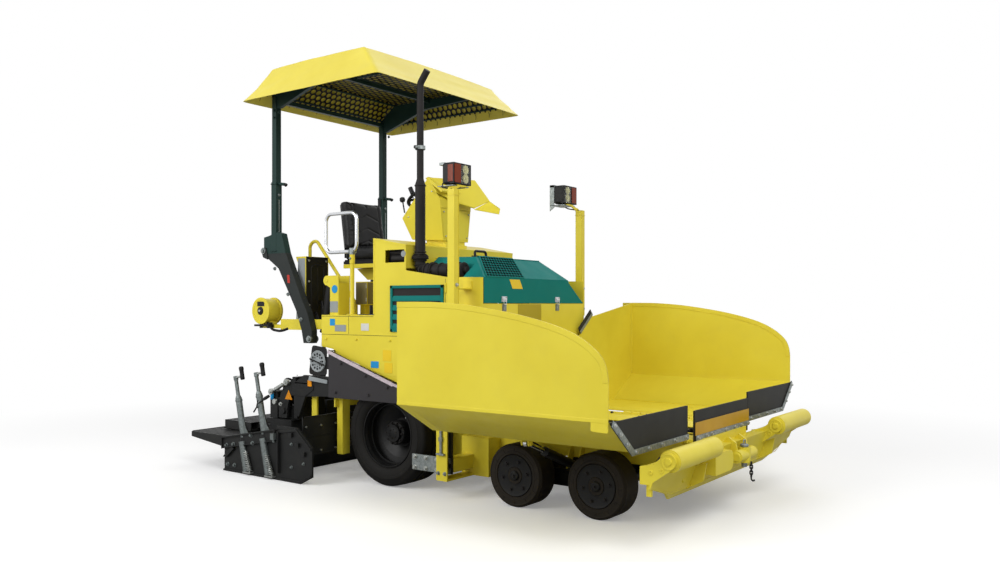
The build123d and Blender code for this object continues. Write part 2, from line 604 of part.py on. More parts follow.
def conveyor():
    """One endless slat chain round its floor plate, as a fixed loop."""
    low = CONVEYOR_TOP - CONVEYOR_H
    radius = CONVEYOR_H / 2
    middle = CONVEYOR_TOP - radius
    shaft_half = FRAME_OUT - FRAME_T - SEAT
    def loop(r, half):
        flat = block(CONVEYOR_REAR + radius, CONVEYOR_FRONT - radius, -half, half, middle - r, middle + r)
        return flat + rod_y(CONVEYOR_REAR + radius, middle, 2 * r, -half, half) + \
            rod_y(CONVEYOR_FRONT - radius, middle, 2 * r, -half, half)
    chain = (loop(radius, 16) - loop(radius - 26, 20))
    chains = Pos(0, CONVEYOR_HALF - 30, 0) * chain
    chains += mirror(chains, about=Plane.XZ)
    deck = block(CONVEYOR_REAR + radius, CONVEYOR_FRONT - radius, -CONVEYOR_HALF, CONVEYOR_HALF, middle - 6,
                 middle + 6)
    ends = [rod_y(x, middle, 70, -shaft_half, shaft_half)
            for x in (CONVEYOR_REAR + radius, CONVEYOR_FRONT - radius)]
    sides = both(block(CONVEYOR_REAR + radius, CONVEYOR_FRONT - radius, CONVEYOR_HALF - 46, CONVEYOR_HALF - 14,
                       middle - radius + 10, middle + radius - 10))
    count = int((CONVEYOR_FRONT - CONVEYOR_REAR - CONVEYOR_H) / SLAT_PITCH)
    slats = []
    for number in range(count + 1):
        x = CONVEYOR_REAR + radius + number * SLAT_PITCH
        for z in (CONVEYOR_TOP - 26, low):
            slats.append(block(x, x + 30, -CONVEYOR_HALF + 20, CONVEYOR_HALF - 20, z, z + 26))
    return chains + deck + ends + sides + slats


# Push beam

def push_beam():
    """A folded panel across the front that carries the push rollers between round-ended cheeks."""
    x, z = FRONT_REACH - ROLLER_D / 2, ROLLER_Z
    back = RAIL_FRONT + SEAT
    top, knee, toe = (back + 95, RAIL_TOP), (back + 18, 300), (2404, 245)
    end_y = ROLLER_OUT + 4 + CHEEK_T
    skin = plate_y([(back, RAIL_TOP), top, knee, toe, (toe[0] - PANEL_T, toe[1]), (knee[0] - PANEL_T - 3, 306),
                    (top[0] - PANEL_T - 4, RAIL_TOP - PANEL_T), (back, RAIL_TOP - PANEL_T)], -end_y, end_y)
    front = plate_x([(-end_y, 520), (-end_y, 378), (-910, knee[1]), (-800, toe[1]), (800, toe[1]), (910, knee[1]),
                     (end_y, 378), (end_y, 520)], toe[0] - 60, top[0] + 10)
    panel = skin & front
    rear = block(back, back + PANEL_T, -FRAME_OUT - 40, FRAME_OUT + 40, RAIL_LOW, RAIL_TOP + 50)
    half = None
    for y in (ROLLER_IN - 4 - CHEEK_T, ROLLER_OUT + 4):
        cheek = plate_y([(2414, 400), (2414, RAIL_TOP), (2490, 515), (x - 14, z + 43), (x + 30, z - 34), (2470, 400)],
                        y, y + CHEEK_T)
        cheek += rod_y(x, z, 90, y, y + CHEEK_T)
        half = cheek if half is None else half + cheek
    half += rod_y(x, z, ROLLER_PIN_D, ROLLER_IN - 4, ROLLER_OUT + 4)
    half += plate_y([(2424, 272), (2541, 336), (2563, 447), (2490, 420), (2445, 330)], 600, 614)
    tube_x, tube_z = TOW_TUBE
    tube = rod_y(tube_x, tube_z, 80, -TOW_TUBE_HALF, TOW_TUBE_HALF)
    ears = [plate_y([(2470, 400), (tube_x, tube_z), (tube_x - 20, 500), (tube_x - 70, 535), (2440, 480)], y, y + 16)
            for y in (-100, 84)]
    lug = plate_x([(-490, 350), (-200, 350), (-200, 480), (-490, 480)], 2450, 2570, [5, 60, 60, 5])
    boss = rod_z(tube_x, 0, TOW_BOSS_D, tube_z - TOW_BOSS_HALF, tube_z + TOW_BOSS_HALF)
    bore = rod_z(tube_x, 0, TOW_BORE_D, tube_z - TOW_BOSS_HALF - 1, tube_z + TOW_BOSS_HALF + 1)
    return panel + rear + both(half) + (tube + boss + ears + lug - bore)


def push_roller():
    x = FRONT_REACH - ROLLER_D / 2
    body = rod_y(x, ROLLER_Z, ROLLER_D, ROLLER_IN, ROLLER_OUT)
    return body - rod_y(x, ROLLER_Z, ROLLER_PIN_D + 2 * FIT, ROLLER_IN - 1, ROLLER_OUT + 1)


# Screed

def tow_arm():
    """A plate bent over the rear wheel, from the tow pin to the bracket on the screed."""
    plate = plate_y([(ARM_REAR, 470), (ARM_REAR + 60, 470), (-860, 640), (-600, ARM_LOW), (560, ARM_LOW),
                     (TOW_X - 45, 560), (TOW_X - 45, 180), (TOW_X + 45, 180), (TOW_X + 45, 640), (560, 715),
                     (143, 720), (-560, ARM_TOP), (-880, ARM_TOP), (ARM_REAR, 740)], ARM_IN, ARM_IN + ARM_T)
    plate -= rod_y(TOW_X, TOW_Z, TOW_PIN_D + 2 * FIT, ARM_IN - 10, ARM_IN + ARM_T + 10)
    bracket = block(ARM_REAR, ARM_REAR + 40, 420, ARM_IN + ARM_T, 450, 700)
    foot = block(-1120, ARM_REAR + 40, 420, 520, 430, 470)
    eye_x, eye_z = LIFT_EYE
    lug = plate_y([(ARM_REAR + 20, 600), (eye_x + 10, 640), (eye_x + 36, eye_z - 10), (eye_x + 20, eye_z + 30),
                   (eye_x - 20, eye_z + 30), (ARM_REAR + 20, 700)], LIFT_Y + 26, LIFT_Y + 38)
    lug += mirror(lug, about=Plane.XZ.offset(-LIFT_Y))
    heads = rod_y(eye_x, eye_z, PIN_D + 10, LIFT_Y + 38, LIFT_Y + 44)
    heads += rod_y(eye_x, eye_z, PIN_D + 10, LIFT_Y - 44, LIFT_Y - 38)
    return plate + bracket + foot + lug + heads


def tow_plates():
    """A bolted steel plate on the outside of each arm's foot."""
    plate = plate_y([(320, 180), (TOW_X + 40, 180), (TOW_X + 40, 295), (320, 295)], ARM_IN + ARM_T,
                    ARM_IN + ARM_T + 9, 6)
    return both(plate - rod_y(TOW_X, TOW_Z, TOW_PIN_D + 2 * FIT, ARM_IN, GUARD_IN + 40))


def wheel_guards():
    """The dark plate outside each arm, over the rear wheel, held by its front end."""
    plate = plate_y([(-566, 653), (540, 653), (620, 600), (700 - SEAT, 600), (700 - SEAT, 631), (143, 806),
                     (-566, 1034)], GUARD_IN, GUARD_IN + GUARD_T)
    tab = block(-562, -540, BODY_OUT + SEAT, GUARD_IN + 1, 1020, 1028)
    return both(plate + tab)


def screed_main():
    """The fixed middle screed: sole, frame, slide bearings and step."""
    sole = block(MAIN_REAR, SCREED_FRONT, -MAIN_HALF, MAIN_HALF, 0, SOLE_T)
    nose = plate_y([(SCREED_FRONT, 0), (SCREED_FRONT + 16, 30), (SCREED_FRONT + 16, 430), (SCREED_FRONT, 430)],
                   -MAIN_HALF, MAIN_HALF)
    top = block(MAIN_REAR, SCREED_FRONT, -MAIN_HALF, MAIN_HALF, 418, 430)
    back = block(MAIN_REAR, MAIN_REAR + 10, -MAIN_HALF, MAIN_HALF, SOLE_T, 418)
    ribs = [block(MAIN_REAR + 10, SCREED_FRONT, y - 6, y + 6, SOLE_T, 418)
            for y in (6 - MAIN_HALF, -330, 0, 330, MAIN_HALF - 6)]
    body = sole + nose + top + back + ribs
    bearing_w = 40
    for z in GUIDE_Z.values():
        for y in (-MAIN_HALF + bearing_w / 2, -200, 200, MAIN_HALF - bearing_w / 2):
            body += rod_y(GUIDE_X, z, GUIDE_D + 20, y - bearing_w / 2, y + bearing_w / 2)
            body += block(GUIDE_X, MAIN_REAR + 2, y - bearing_w / 2, y + bearing_w / 2, z - 25, z + 25)
    for z in GUIDE_Z.values():
        body -= rod_y(GUIDE_X, z, GUIDE_D + 2 * FIT, -MAIN_HALF - 50, MAIN_HALF + 50)
    low = STEP_TOP + RUN
    walk = block(WALK_REAR, EXT_REAR - 10, -MAIN_HALF, MAIN_HALF, low, low + STEP_T)
    over = GUIDE_Z["left"] + GUIDE_D / 2 + RUN
    top = low + STEP_T
    cranked = [(WALK_REAR + 60, top - 1), (EXT_REAR - 20, top - 1), (GUIDE_X - 70, over), (MAIN_REAR + 2, over),
               (MAIN_REAR + 2, 418), (GUIDE_X - 90, 418), (EXT_REAR - 40, top + 40), (WALK_REAR + 60, top + 20)]
    carriers = [plate_y(cranked, y - 10, y + 10) for y in (-MAIN_HALF + 90, 0, MAIN_HALF - 90)]
    return body + walk + carriers


def screed_extension(side):
    """A sliding screed with its end plate, height cranks, tunnel plate, slide tube and step."""
    inner = EXT_OUT - EXT_LENGTH
    plate_in = EXT_OUT - END_PLATE_T
    front = GUIDE_X - GUIDE_D / 2 - 10 - RUN
    plate_rear, plate_front = EXT_REAR - 4, -466
    sole = block(EXT_REAR, front, inner, plate_in, 0, SOLE_T)
    walls = [block(x, x + 10, inner, plate_in, SOLE_T, 200) for x in (EXT_REAR, front - 10)]
    top = block(EXT_REAR, front, inner, plate_in, 190, 200)
    ribs = [block(EXT_REAR + 10, front - 10, y, y + 10, SOLE_T, 190) for y in (inner, (inner + plate_in) / 2)]
    end = plate_y([(plate_rear, 0), (-599, 0), (plate_front, 65), (plate_front, 292), (-640, 432), (-880, 432),
                   (-880, 400), (plate_rear, STEP_TOP)], plate_in, EXT_OUT)
    for x in (END_HOLES_X - END_SPACING_X / 2, END_HOLES_X + END_SPACING_X / 2):
        for z in (END_HOLES_Z - END_SPACING_Z / 2, END_HOLES_Z + END_SPACING_Z / 2):
            end -= rod_y(x, z, END_HOLE_D, plate_in - 1, EXT_OUT + 1)
    flange = plate_y([(plate_rear, STEP_TOP), (plate_rear, STEP_TOP - 12), (-880, 393), (-880, 405)],
                     EXT_OUT - 2, EXT_OUT + 30)
    name = "left" if side > 0 else "right"
    bearing_reach = MAIN_HALF - 200
    slide = rod_y(GUIDE_X, GUIDE_Z[name], GUIDE_D, plate_in - (EXT_MORE + bearing_reach + 240), plate_in)
    step = block(STEP_REAR, EXT_REAR + 20, inner, plate_in, STEP_TOP - STEP_T, STEP_TOP)
    for y in (inner, plate_in - 8):
        step += plate_y([(STEP_REAR, STEP_TOP), (STEP_REAR, STEP_TOP - 43), (EXT_REAR, 190), (EXT_REAR + 20, 190),
                         (EXT_REAR + 20, STEP_TOP)], y, y + 8)
    step += block(STEP_REAR, STEP_REAR + 8, inner, plate_in, STEP_TOP - 43, STEP_TOP)
    tunnel = block(-644, -638, 574, 945, 197, 511)
    tunnel_foot = block(-660, -638, 940, plate_in, 240, 400)
    body = sole + walls + top + ribs + end + flange + slide + step + tunnel + tunnel_foot
    y = EXT_OUT - END_PLATE_T / 2
    for low_x, low_z, high_x, high_z in CRANKS:
        lean = (high_x - low_x) / (high_z - low_z)
        collar_z = low_z + 250
        body += rod((low_x - lean * (low_z - 40), y + 10, 40), (low_x - lean * 70, y + 10, low_z - 70), SLEEVE_D)
        body += rod((low_x - lean * 75, y, low_z - 75), (low_x + lean * 250, y, collar_z), SLEEVE_D)
        body += rod((low_x + lean * 249, y, collar_z - 1), (high_x, y, high_z), 28)
        body += plate_y([(low_x - 5, low_z - 40), (low_x + 75, low_z - 30), (low_x + 10, low_z + 85)], y - 6, y + 6)
        body += rod((high_x, y, high_z), (high_x + 90, y, high_z + 18), 16)
        body += rod((high_x + 90, y, high_z - 10), (high_x + 68, y, high_z + 92), 30)
    return on_side(body, side)



def lift_direction():
    top_x, top_z = LIFT_TOP
    eye_x, eye_z = LIFT_EYE
    return hypot(top_x - eye_x, top_z - eye_z), degrees(atan2(top_x - eye_x, top_z - eye_z))


def lift_barrel():
    """Drawn hanging straight down from its pin, then turned to the eye."""
    pin = Rot(90, 0, 0) * Cylinder(PIN_D / 2 + FIT, 80)
    eye = Rot(90, 0, 0) * Cylinder(PIN_D / 2 + 14, 60)
    tube = Pos(0, 0, -(LIFT_BARREL_L + 22) / 2) * Cylinder(LIFT_BARREL_D / 2, LIFT_BARREL_L - 22)
    bore = Pos(0, 0, -LIFT_BARREL_L / 2 - 50) * Cylinder(LIFT_ROD_D / 2 + FIT, LIFT_BARREL_L)
    port = Pos(LIFT_BARREL_D / 2, 0, -90) * Rot(0, 90, 0) * Cylinder(14, 30)
    barrel = tube - bore + eye - pin + port
    return Pos(LIFT_TOP[0], LIFT_Y, LIFT_TOP[1]) * Rot(0, lift_direction()[1], 0) * barrel


def lift_rod():
    reach = lift_direction()[0]
    stroke_room = 60        # half of the length left inside the barrel
    bar = Pos(0, 0, -(reach + LIFT_BARREL_L - stroke_room * 2) / 2) * \
        Cylinder(LIFT_ROD_D / 2, reach - LIFT_BARREL_L + stroke_room * 2)
    eye = Pos(0, 0, -reach) * Rot(90, 0, 0) * Cylinder(PIN_D / 2 + 14, 40)
    return Pos(LIFT_TOP[0], LIFT_Y, LIFT_TOP[1]) * Rot(0, lift_direction()[1], 0) * (bar + eye)


# Augers

def auger():
    """A helical flight on its shaft."""
    length = AUGER_OUT - AUGER_IN
    shaft = rod_y(AUGER_X, AUGER_Z, AUGER_SHAFT_D, AUGER_IN, AUGER_OUT)
    line = Helix(AUGER_PITCH, length - 20, (AUGER_SHAFT_D + AUGER_D) / 4)
    width = (AUGER_D - AUGER_SHAFT_D) / 2 + 6
    start = Plane(line @ 0, x_dir=(1, 0, 0), z_dir=line % 0)
    flight = sweep(start * Rectangle(width, 10), path=line, is_frenet=True)
    flight = Pos(AUGER_X, AUGER_IN + 10, AUGER_Z) * Rot(-90, 0, 0) * flight
    screw = shaft + flight
    for y_low, y_high in ((AUGER_IN - 1, AUGER_IN + STUB_L), (AUGER_OUT - STUB_L, AUGER_OUT + 1)):
        screw -= rod_y(AUGER_X, AUGER_Z, STUB_D + 2 * FIT, y_low, y_high)
    return screw


def auger_drive():
    """The chain case between the augers with its hanger, and the hangers of their outer ends."""
    case = plate_y([(AUGER_X - 60, AUGER_Z - 50), (AUGER_X + 60, AUGER_Z - 50), (AUGER_X + 60, HANGER_LOW + 20),
                    (AUGER_X - 60, HANGER_LOW + 20)], -AUGER_IN + 10, AUGER_IN - 10, 40)
    reach = AUGER_IN + STUB_L - 2
    stub = rod_y(AUGER_X, AUGER_Z, STUB_D, -reach, reach)
    hanger = block(AUGER_X, FRAME_REAR - SEAT, -50, 50, HANGER_LOW, HANGER_LOW + 60)
    hanger += block(AUGER_X - 50, AUGER_X + 50, -50, 50, HANGER_LOW - 40, HANGER_LOW + 60)
    outer = AUGER_OUT + RUN
    half = block(AUGER_X - 30, AUGER_X + 30, outer, outer + 16, AUGER_Z - 30, POST_TOP)
    half += rod_y(AUGER_X, AUGER_Z, STUB_D, AUGER_OUT - STUB_L + 2, outer + 16)
    half += block(AUGER_X - 30, CHANNEL_X[0] - SEAT, outer, outer + 16, POST_TOP - 30, POST_TOP)
    return both(half) + case + stub + hanger


# Canopy

def canopy_arms():
    """The fixed arms that carry the masts, bolted to the deck's rear beams."""
    points = [(-1437, MAST_SPLIT - 8), (-1246, 1700), (-1024, 1348), (-955, 1183), (-930, 1075), (-832, 1075),
              (-832, 1180), (-888, 1332), (-949, 1431), (-1156, MAST_SPLIT - SEAT), (-1400, MAST_SPLIT - SEAT)]
    arm = plate_y(points, MAST_Y - MAST_W / 2, MAST_Y + MAST_W / 2)
    ear = plate_y([(-1462, 1856), (-1437, 1800), (-1380, 1790), (-1400, 1880), (-1440, 1885)],
                  MAST_Y + MAST_W / 2 + SEAT, MAST_Y + MAST_W / 2 + 10)
    foot = plate_y([(-1437, 1800), (-1380, 1780), (-1390, MAST_SPLIT - 6), (-1437, MAST_SPLIT - 6)],
                   MAST_Y + MAST_W / 2 - 1, MAST_Y + MAST_W / 2 + 10)
    pivot_x, pivot_z = MAST_PIVOT
    pin = rod_y(pivot_x, pivot_z, 24, MAST_Y - MAST_W / 2 - 6, MAST_Y + MAST_W / 2 + 14)
    return both(arm + ear + foot + pin)


def canopy_masts():
    """The lower tubes, each on a foot that folds back about its pin."""
    low = MAST_SPLIT
    foot = plate_y([(-1437, low), (-1156, low), (-1208, 1996), (-1262, 2010), (-1375, 1982), (-1437, 1972)],
                   MAST_Y - MAST_W / 2, MAST_Y + MAST_W / 2)
    tube = block(MAST_X - 31, MAST_X + 31, MAST_Y - 31, MAST_Y + 31, low + 20, MAST_TOP)
    room = block(MAST_X - 27 - SEAT, MAST_X + 27 + SEAT, MAST_Y - 27 - SEAT, MAST_Y + 27 + SEAT, low + 6, MAST_TOP + 1)
    pivot_x, pivot_z = MAST_PIVOT
    mast = foot + tube - room
    mast -= rod_y(pivot_x, pivot_z, 24 + 2 * FIT, MAST_Y - MAST_W, MAST_Y + MAST_W)
    lever = rod((MAST_X + 30, MAST_Y, MAST_TOP - 14), (MAST_X + 110, MAST_Y, MAST_TOP - 26), 26)
    return both(mast + lever)


def canopy_frame():
    """The upper tubes, cross members and tapered beams under the roof."""
    top = ROOF_RIM - 10
    low = top - CROSS_H
    edge = ROOF_T + SEAT
    half = ROOF_HALF - edge
    tube = block(MAST_X - 27, MAST_X + 27, MAST_Y - 27, MAST_Y + 27, MAST_TOP - 150, top - 10)
    beam = plate_y([(MAST_X - 27, low - BEAM_DEEP), (MAST_X + 60, low - BEAM_DEEP), (MAST_X + 200, low - 20),
                    (-110, low), (-110, top), (MAST_X - 27, top)], MAST_Y - 20, MAST_Y + 20)
    cross = [block(x, x + 40, -half, half, low, top) for x in (MAST_X - 20, -780, -240)]
    rim = block(ROOF_REAR + edge, ROOF_FRONT - edge, -half, half, ROOF_RIM - 24, ROOF_RIM)
    rim -= block(ROOF_REAR + edge + 24, ROOF_FRONT - edge - 24, 24 - half, half - 24, ROOF_RIM - 30, ROOF_RIM + 1)
    front = both(block(-130, ROOF_FRONT - edge, MAST_Y - 12, MAST_Y + 12, top - 30, ROOF_RIM - 4))
    hoop = []
    for x in (ROOF_FOLD_REAR + 30, (ROOF_FOLD_REAR + ROOF_FOLD_FRONT) / 2, ROOF_FOLD_FRONT - 60):
        for y in (-700, 700):
            hoop.append(block(x, x + 30, y - 15, y + 15, low, ROOF_RIM + ROOF_RISE - ROOF_T - SEAT))
        hoop.append(block(x, x + 30, -half, half, low, low + 30))
    rear = both(block(ROOF_REAR + edge, MAST_X, MAST_Y - 12, MAST_Y + 12, top - 30, ROOF_RIM - 4))
    return both(tube + beam) + cross + hoop + rim + front + rear


def canopy_roof():
    """The hipped tarpaulin, a closed shell with its underside open."""
    def hip(wall):
        rim = Pos((ROOF_REAR + ROOF_FRONT) / 2, 0, ROOF_RIM) * \
            Rectangle(ROOF_FRONT - ROOF_REAR - 2 * wall, 2 * (ROOF_HALF - wall))
        fold = Pos((ROOF_FOLD_REAR + ROOF_FOLD_FRONT) / 2, 0, ROOF_RIM + ROOF_RISE - wall) * \
            Rectangle(ROOF_FOLD_FRONT - ROOF_FOLD_REAR - wall, 2 * ROOF_FOLD_HALF - wall)
        ridge = Pos((ROOF_FOLD_REAR + ROOF_FOLD_FRONT) / 2, 0, ROOF_RIM + ROOF_RISE + ROOF_ARCH - wall) * \
            Rectangle((ROOF_FOLD_FRONT - ROOF_FOLD_REAR) / 2, ROOF_FOLD_HALF)
        return loft([rim, fold], ruled=True) + loft([fold, ridge], ruled=True)
    return hip(0) - hip(ROOF_T)


# Fittings on the body

def light_poles():
    wide, deep = POLE_W
    low = 1300
    lamp_x, lamp_y, lamp_z = LAMP
    lamp_low = lamp_z - LAMP_SIZE[2] / 2 - SEAT
    pole = block(POLE_X - wide / 2, POLE_X + wide / 2, POLE_Y - deep / 2, POLE_Y + deep / 2, low, POLE_TOP)
    pole -= block(POLE_X - wide / 2 + 4, POLE_X + wide / 2 - 4, POLE_Y - deep / 2 + 4, POLE_Y + deep / 2 - 4,
                  low + 4, POLE_TOP - 4)
    for z in (1330, 1500):
        pole += block(POLE_X - 40, POLE_X + 40, BODY_OUT + SEAT, POLE_Y - deep / 2 + 2, z, z + 10)
        pole += block(POLE_X - 40, POLE_X + 40, BODY_OUT + SEAT, BODY_OUT + 8, z, z + 60)
    bracket_x = POLE_X - wide / 2
    head = plate_x([(POLE_Y - deep / 2, POLE_TOP), (POLE_Y + deep / 2, POLE_TOP), (POLE_Y + 10, POLE_TOP + 22),
                    (lamp_y + 50, lamp_low - 10), (lamp_y + 50, lamp_low), (lamp_y - 50, lamp_low),
                    (lamp_y - 50, lamp_low - 10), (lamp_y + 20, lamp_low - 16)], bracket_x, bracket_x + 8)
    foot = block(lamp_x - 30, bracket_x + 8, lamp_y - 50, lamp_y + 50, lamp_low - 8, lamp_low)
    cap = block(bracket_x, POLE_X + wide / 2, POLE_Y - deep / 2, POLE_Y + deep / 2, POLE_TOP - 2, POLE_TOP + 4)
    return both(pole + head + foot + cap)


def headlamps():
    lamp = Pos(*LAMP) * Box(*LAMP_SIZE)
    return both(fillet(lamp.edges(), 20))


def exhaust():
    """A lying silencer with its flanges, an elbow and the tall stack with a bent tip."""
    x, y, z = STACK_X, -STACK_Y, SILENCER_Z
    sleeve_top, pipe_top = 2300, ROOF_RIM - 40
    silencer = rod_x(y, z, SILENCER_D, x + 60, SILENCER_END)
    rings = [rod_x(y, z, SILENCER_D + 10, ring_x, ring_x + 12) for ring_x in (x + 130, x + 210, x + 290, x + 370)]
    elbow = pipe([(x + 80, y, z), (x, y, z), (x, y, z + 120)], 80, 60)
    sleeve = rod_z(x, y, 78, z + 110, sleeve_top)
    flanges = [rod_z(x, y, 104, flange_z, flange_z + 12) for flange_z in (z + 90, z + 104)]
    cone = Pos(x, y, sleeve_top + 20) * Cone(39, 26, 40)
    stack = pipe([(x, y, sleeve_top + 30), (x, y, pipe_top), (x + 70, y, pipe_top + 90)], 52, 60)
    clamp = rod_z(x, y, 70, 2560, 2590)
    clamp += block(x - 8, x + 8, y - 60, y, 2563, 2587)
    tail = rod_x(y, z, 46, SILENCER_END - 1, SILENCER_END + 30)
    feet = [block(foot_x, foot_x + 30, y - 30, y + 30, TRAY_Z + SEAT, z - SILENCER_D / 2 + 8) for foot_x in (400, 620)]
    return silencer + rings + elbow + sleeve + flanges + cone + stack + clamp + tail + feet


def console():
    """The operator's flared stand with its tilted desk, raised lid and steering column."""
    fall = (COWL_TOP_REAR - COWL_TOP_FRONT) / (COWL_FRONT - COWL_REAR)

    def cowl_z(x):
        return COWL_TOP_REAR - fall * (x - COWL_REAR) + SEAT

    low_half, top_half = CONSOLE_HALF
    foot = plate_y([(-60, cowl_z(-60)), (130, cowl_z(130)), (130, CONSOLE_LOW), (-60, CONSOLE_LOW + 5)],
                   30 - low_half, low_half - 30)
    side = plate_y([(-190, CONSOLE_LOW + 5), (140, CONSOLE_LOW - 15), (140, 2240), (30, CONSOLE_TOP), (-280, 2110)],
                   -top_half, top_half)
    face = plate_x([(-low_half, CONSOLE_LOW - 20), (low_half, CONSOLE_LOW - 20), (top_half, CONSOLE_TOP + 5),
                    (-top_half, CONSOLE_TOP + 5)], -300, 200)
    lid = plate_y([(14, CONSOLE_TOP - 8), (26, CONSOLE_TOP + 14), (180, 2300), (172, 2288)], 4 - top_half, top_half - 4)
    hub_x, hub_z = WHEEL_HUB
    lean = radians(COLUMN_LEAN)
    column_foot = (hub_x + 150 * sin(lean), 0, hub_z - 150 * cos(lean))
    top = 22 + SEAT
    column = rod(column_foot, (hub_x + top * sin(lean), 0, hub_z - top * cos(lean)), 44)
    return foot + (side & face) + lid + column


def steering_wheel():
    ring = Torus(STEERING_WHEEL_D / 2 - 13, 13)
    hub = Cylinder(32, 44)
    spokes = [Rot(0, 0, turn) * Pos(STEERING_WHEEL_D / 4, 0, -6) * Box(STEERING_WHEEL_D / 2 - 24, 26, 10)
              for turn in (0, 120, 240)]
    knob = Pos(0, -STEERING_WHEEL_D / 2 + 13, 40) * Cylinder(19, 60)
    hub_x, hub_z = WHEEL_HUB
    return Pos(hub_x, 0, hub_z) * Rot(0, -COLUMN_LEAN, 0) * (ring + hub + spokes + knob)


def seat():
    back = plate_y([(SEAT_BACK_X, 1860), (SEAT_BACK_X + 100, 1860), (SEAT_BACK_X + 40, 2290),
                    (SEAT_BACK_X - 20, 2310), (SEAT_BACK_X - 60, 2290)], -240, 240, 14)
    cushion = plate_y([(SEAT_BACK_X, SEAT_BASE), (SEAT_BACK_X + 400, SEAT_BASE), (SEAT_BACK_X + 420, 1880),
                       (SEAT_BACK_X + 380, 1900), (SEAT_BACK_X, 1880)], -240, 240, 14)
    return back + cushion


def seat_mount():
    """A plate on a tapered post that stands on a flange on the deck."""
    x = SEAT_BACK_X + 200
    plate = block(SEAT_BACK_X + 10, SEAT_BACK_X + 400, -220, 220, SEAT_BASE - 26, SEAT_BASE - SEAT)
    height = SEAT_BASE - 26 - DECK_TOP
    post = Pos(x, 0, DECK_TOP + height / 2) * Cone(75, 50, height)
    flange = rod_z(x, 0, 240, DECK_TOP, DECK_TOP + 12)
    gussets = [plate_y([(x - 110, DECK_TOP + 12), (x + 110, DECK_TOP + 12), (x + 50, DECK_TOP + 120),
                        (x - 50, DECK_TOP + 120)], -5, 5)]
    return plate + post + flange + gussets


def handrails():
    """The bright grab loop on its stanchion and the bent rail of the left-hand step."""
    y = -650
    loop = pipe([(-520, y, 1815), (-690, y, 1815), (-690, y, 2125), (-340, y, 2125), (-340, y, 1815),
                 (-519, y, 1815)], 28, 60)
    stanchion = rod_z(-390, y, 34, DECK_TOP, 1830)
    rail = pipe([(-1264, -315, 1190 + SEAT), (-1264, -315, 1930), (-1180, -315, 1960), (-690, -315, 1400),
                 (-690, -315, DECK_TOP + SEAT)], 30, 40)
    return loop + stanchion + rail


def cable_station():
    """The cable reel on its arm and the channel that stands on the shelf beside it."""
    y_low, y_high = -590, -340
    x = -1010
    front = plate_x([(y_low, 1190), (y_high, 1190), (y_high, 1800), (y_low, 1800)], x, x + 8)
    front -= plate_x([(y_low + 55, 1250), (y_high - 55, 1250), (y_high - 55, 1730), (y_low + 55, 1730)], x - 1, x + 9, 24)
    cheek = plate_y([(x, 1190), (x, 1800), (x - 120, 1800), (x - 70, 1700), (x - 50, 1190)], y_low, y_low + 6)
    x, z = REEL_X, REEL_Z
    drum = rod_y(x, z, REEL_D, -680, -550)
    rims = [rod_y(x, z, REEL_D + 30, y, y + 10) for y in (-690, -550)]
    window = block(x - 40, x + 40, -660, -580, z + 60, z + 130)
    saddle = block(x - 60, x + 60 - SEAT, -640, -560, 1190, z - REEL_D / 2 + 8)
    return front + cheek + [drum + rims - window + saddle]


PIECES = {
    "main_frame": main_frame,
    "front_bogies": front_bogies,
    "body_shell": body_shell,
    "engine_block": engine_block,
    "rear_deck": rear_deck,
    "hood": hood,
    "hopper_body": hopper_body,
    "centre_flap": centre_flap,
    "conveyor": conveyor,
    "push_beam": push_beam,
    "tow_plates": tow_plates,
    "wheel_guards": wheel_guards,
    "screed_main": screed_main,
    "auger_drive": auger_drive,
    "canopy_arms": canopy_arms,
    "canopy_masts": canopy_masts,
    "canopy_frame": canopy_frame,
    "canopy_roof": canopy_roof,
    "light_poles": light_poles,
    "headlamps": headlamps,
    "exhaust": exhaust,
    "console": console,
    "steering_wheel": steering_wheel,
    "seat": seat,
    "seat_mount": seat_mount,
    "handrails": handrails,
    "cable_station": cable_station,
}

PAIRS = {
    "rear_tyre": rear_tyre,
    "rear_rim": rear_rim,
    "hopper_wing": hopper_wing,
    "wing_flap": wing_flap,
    "wing_barrel": wing_barrel,
    "wing_rod": wing_rod,
    "push_roller": push_roller,
    "tow_arm": tow_arm,
    "lift_barrel": lift_barrel,
    "lift_rod": lift_rod,
    "auger": auger,
}


def main():
    os.makedirs("parts", exist_ok=True)
    for name, make in PIECES.items():
        put(name, make())
    for name, make in PAIRS.items():
        for side_name, side in SIDES:
            put(f"{name}_{side_name}", on_side(make(), side))
    for side_name, side in SIDES:
        put(f"screed_extension_{side_name}", screed_extension(side))
        for place, (x, outer) in FRONT_AXLES.items():
            put(f"{place}_wheel_{side_name}", on_side(front_wheel(x, outer), side))
            put(f"{place}_knuckle_{side_name}", on_side(knuckle(x, outer), side))


main()
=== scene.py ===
import json
from math import cos, hypot, pi, radians, sin, tan

import bmesh
import bpy
from mathutils import Matrix, Vector, noise

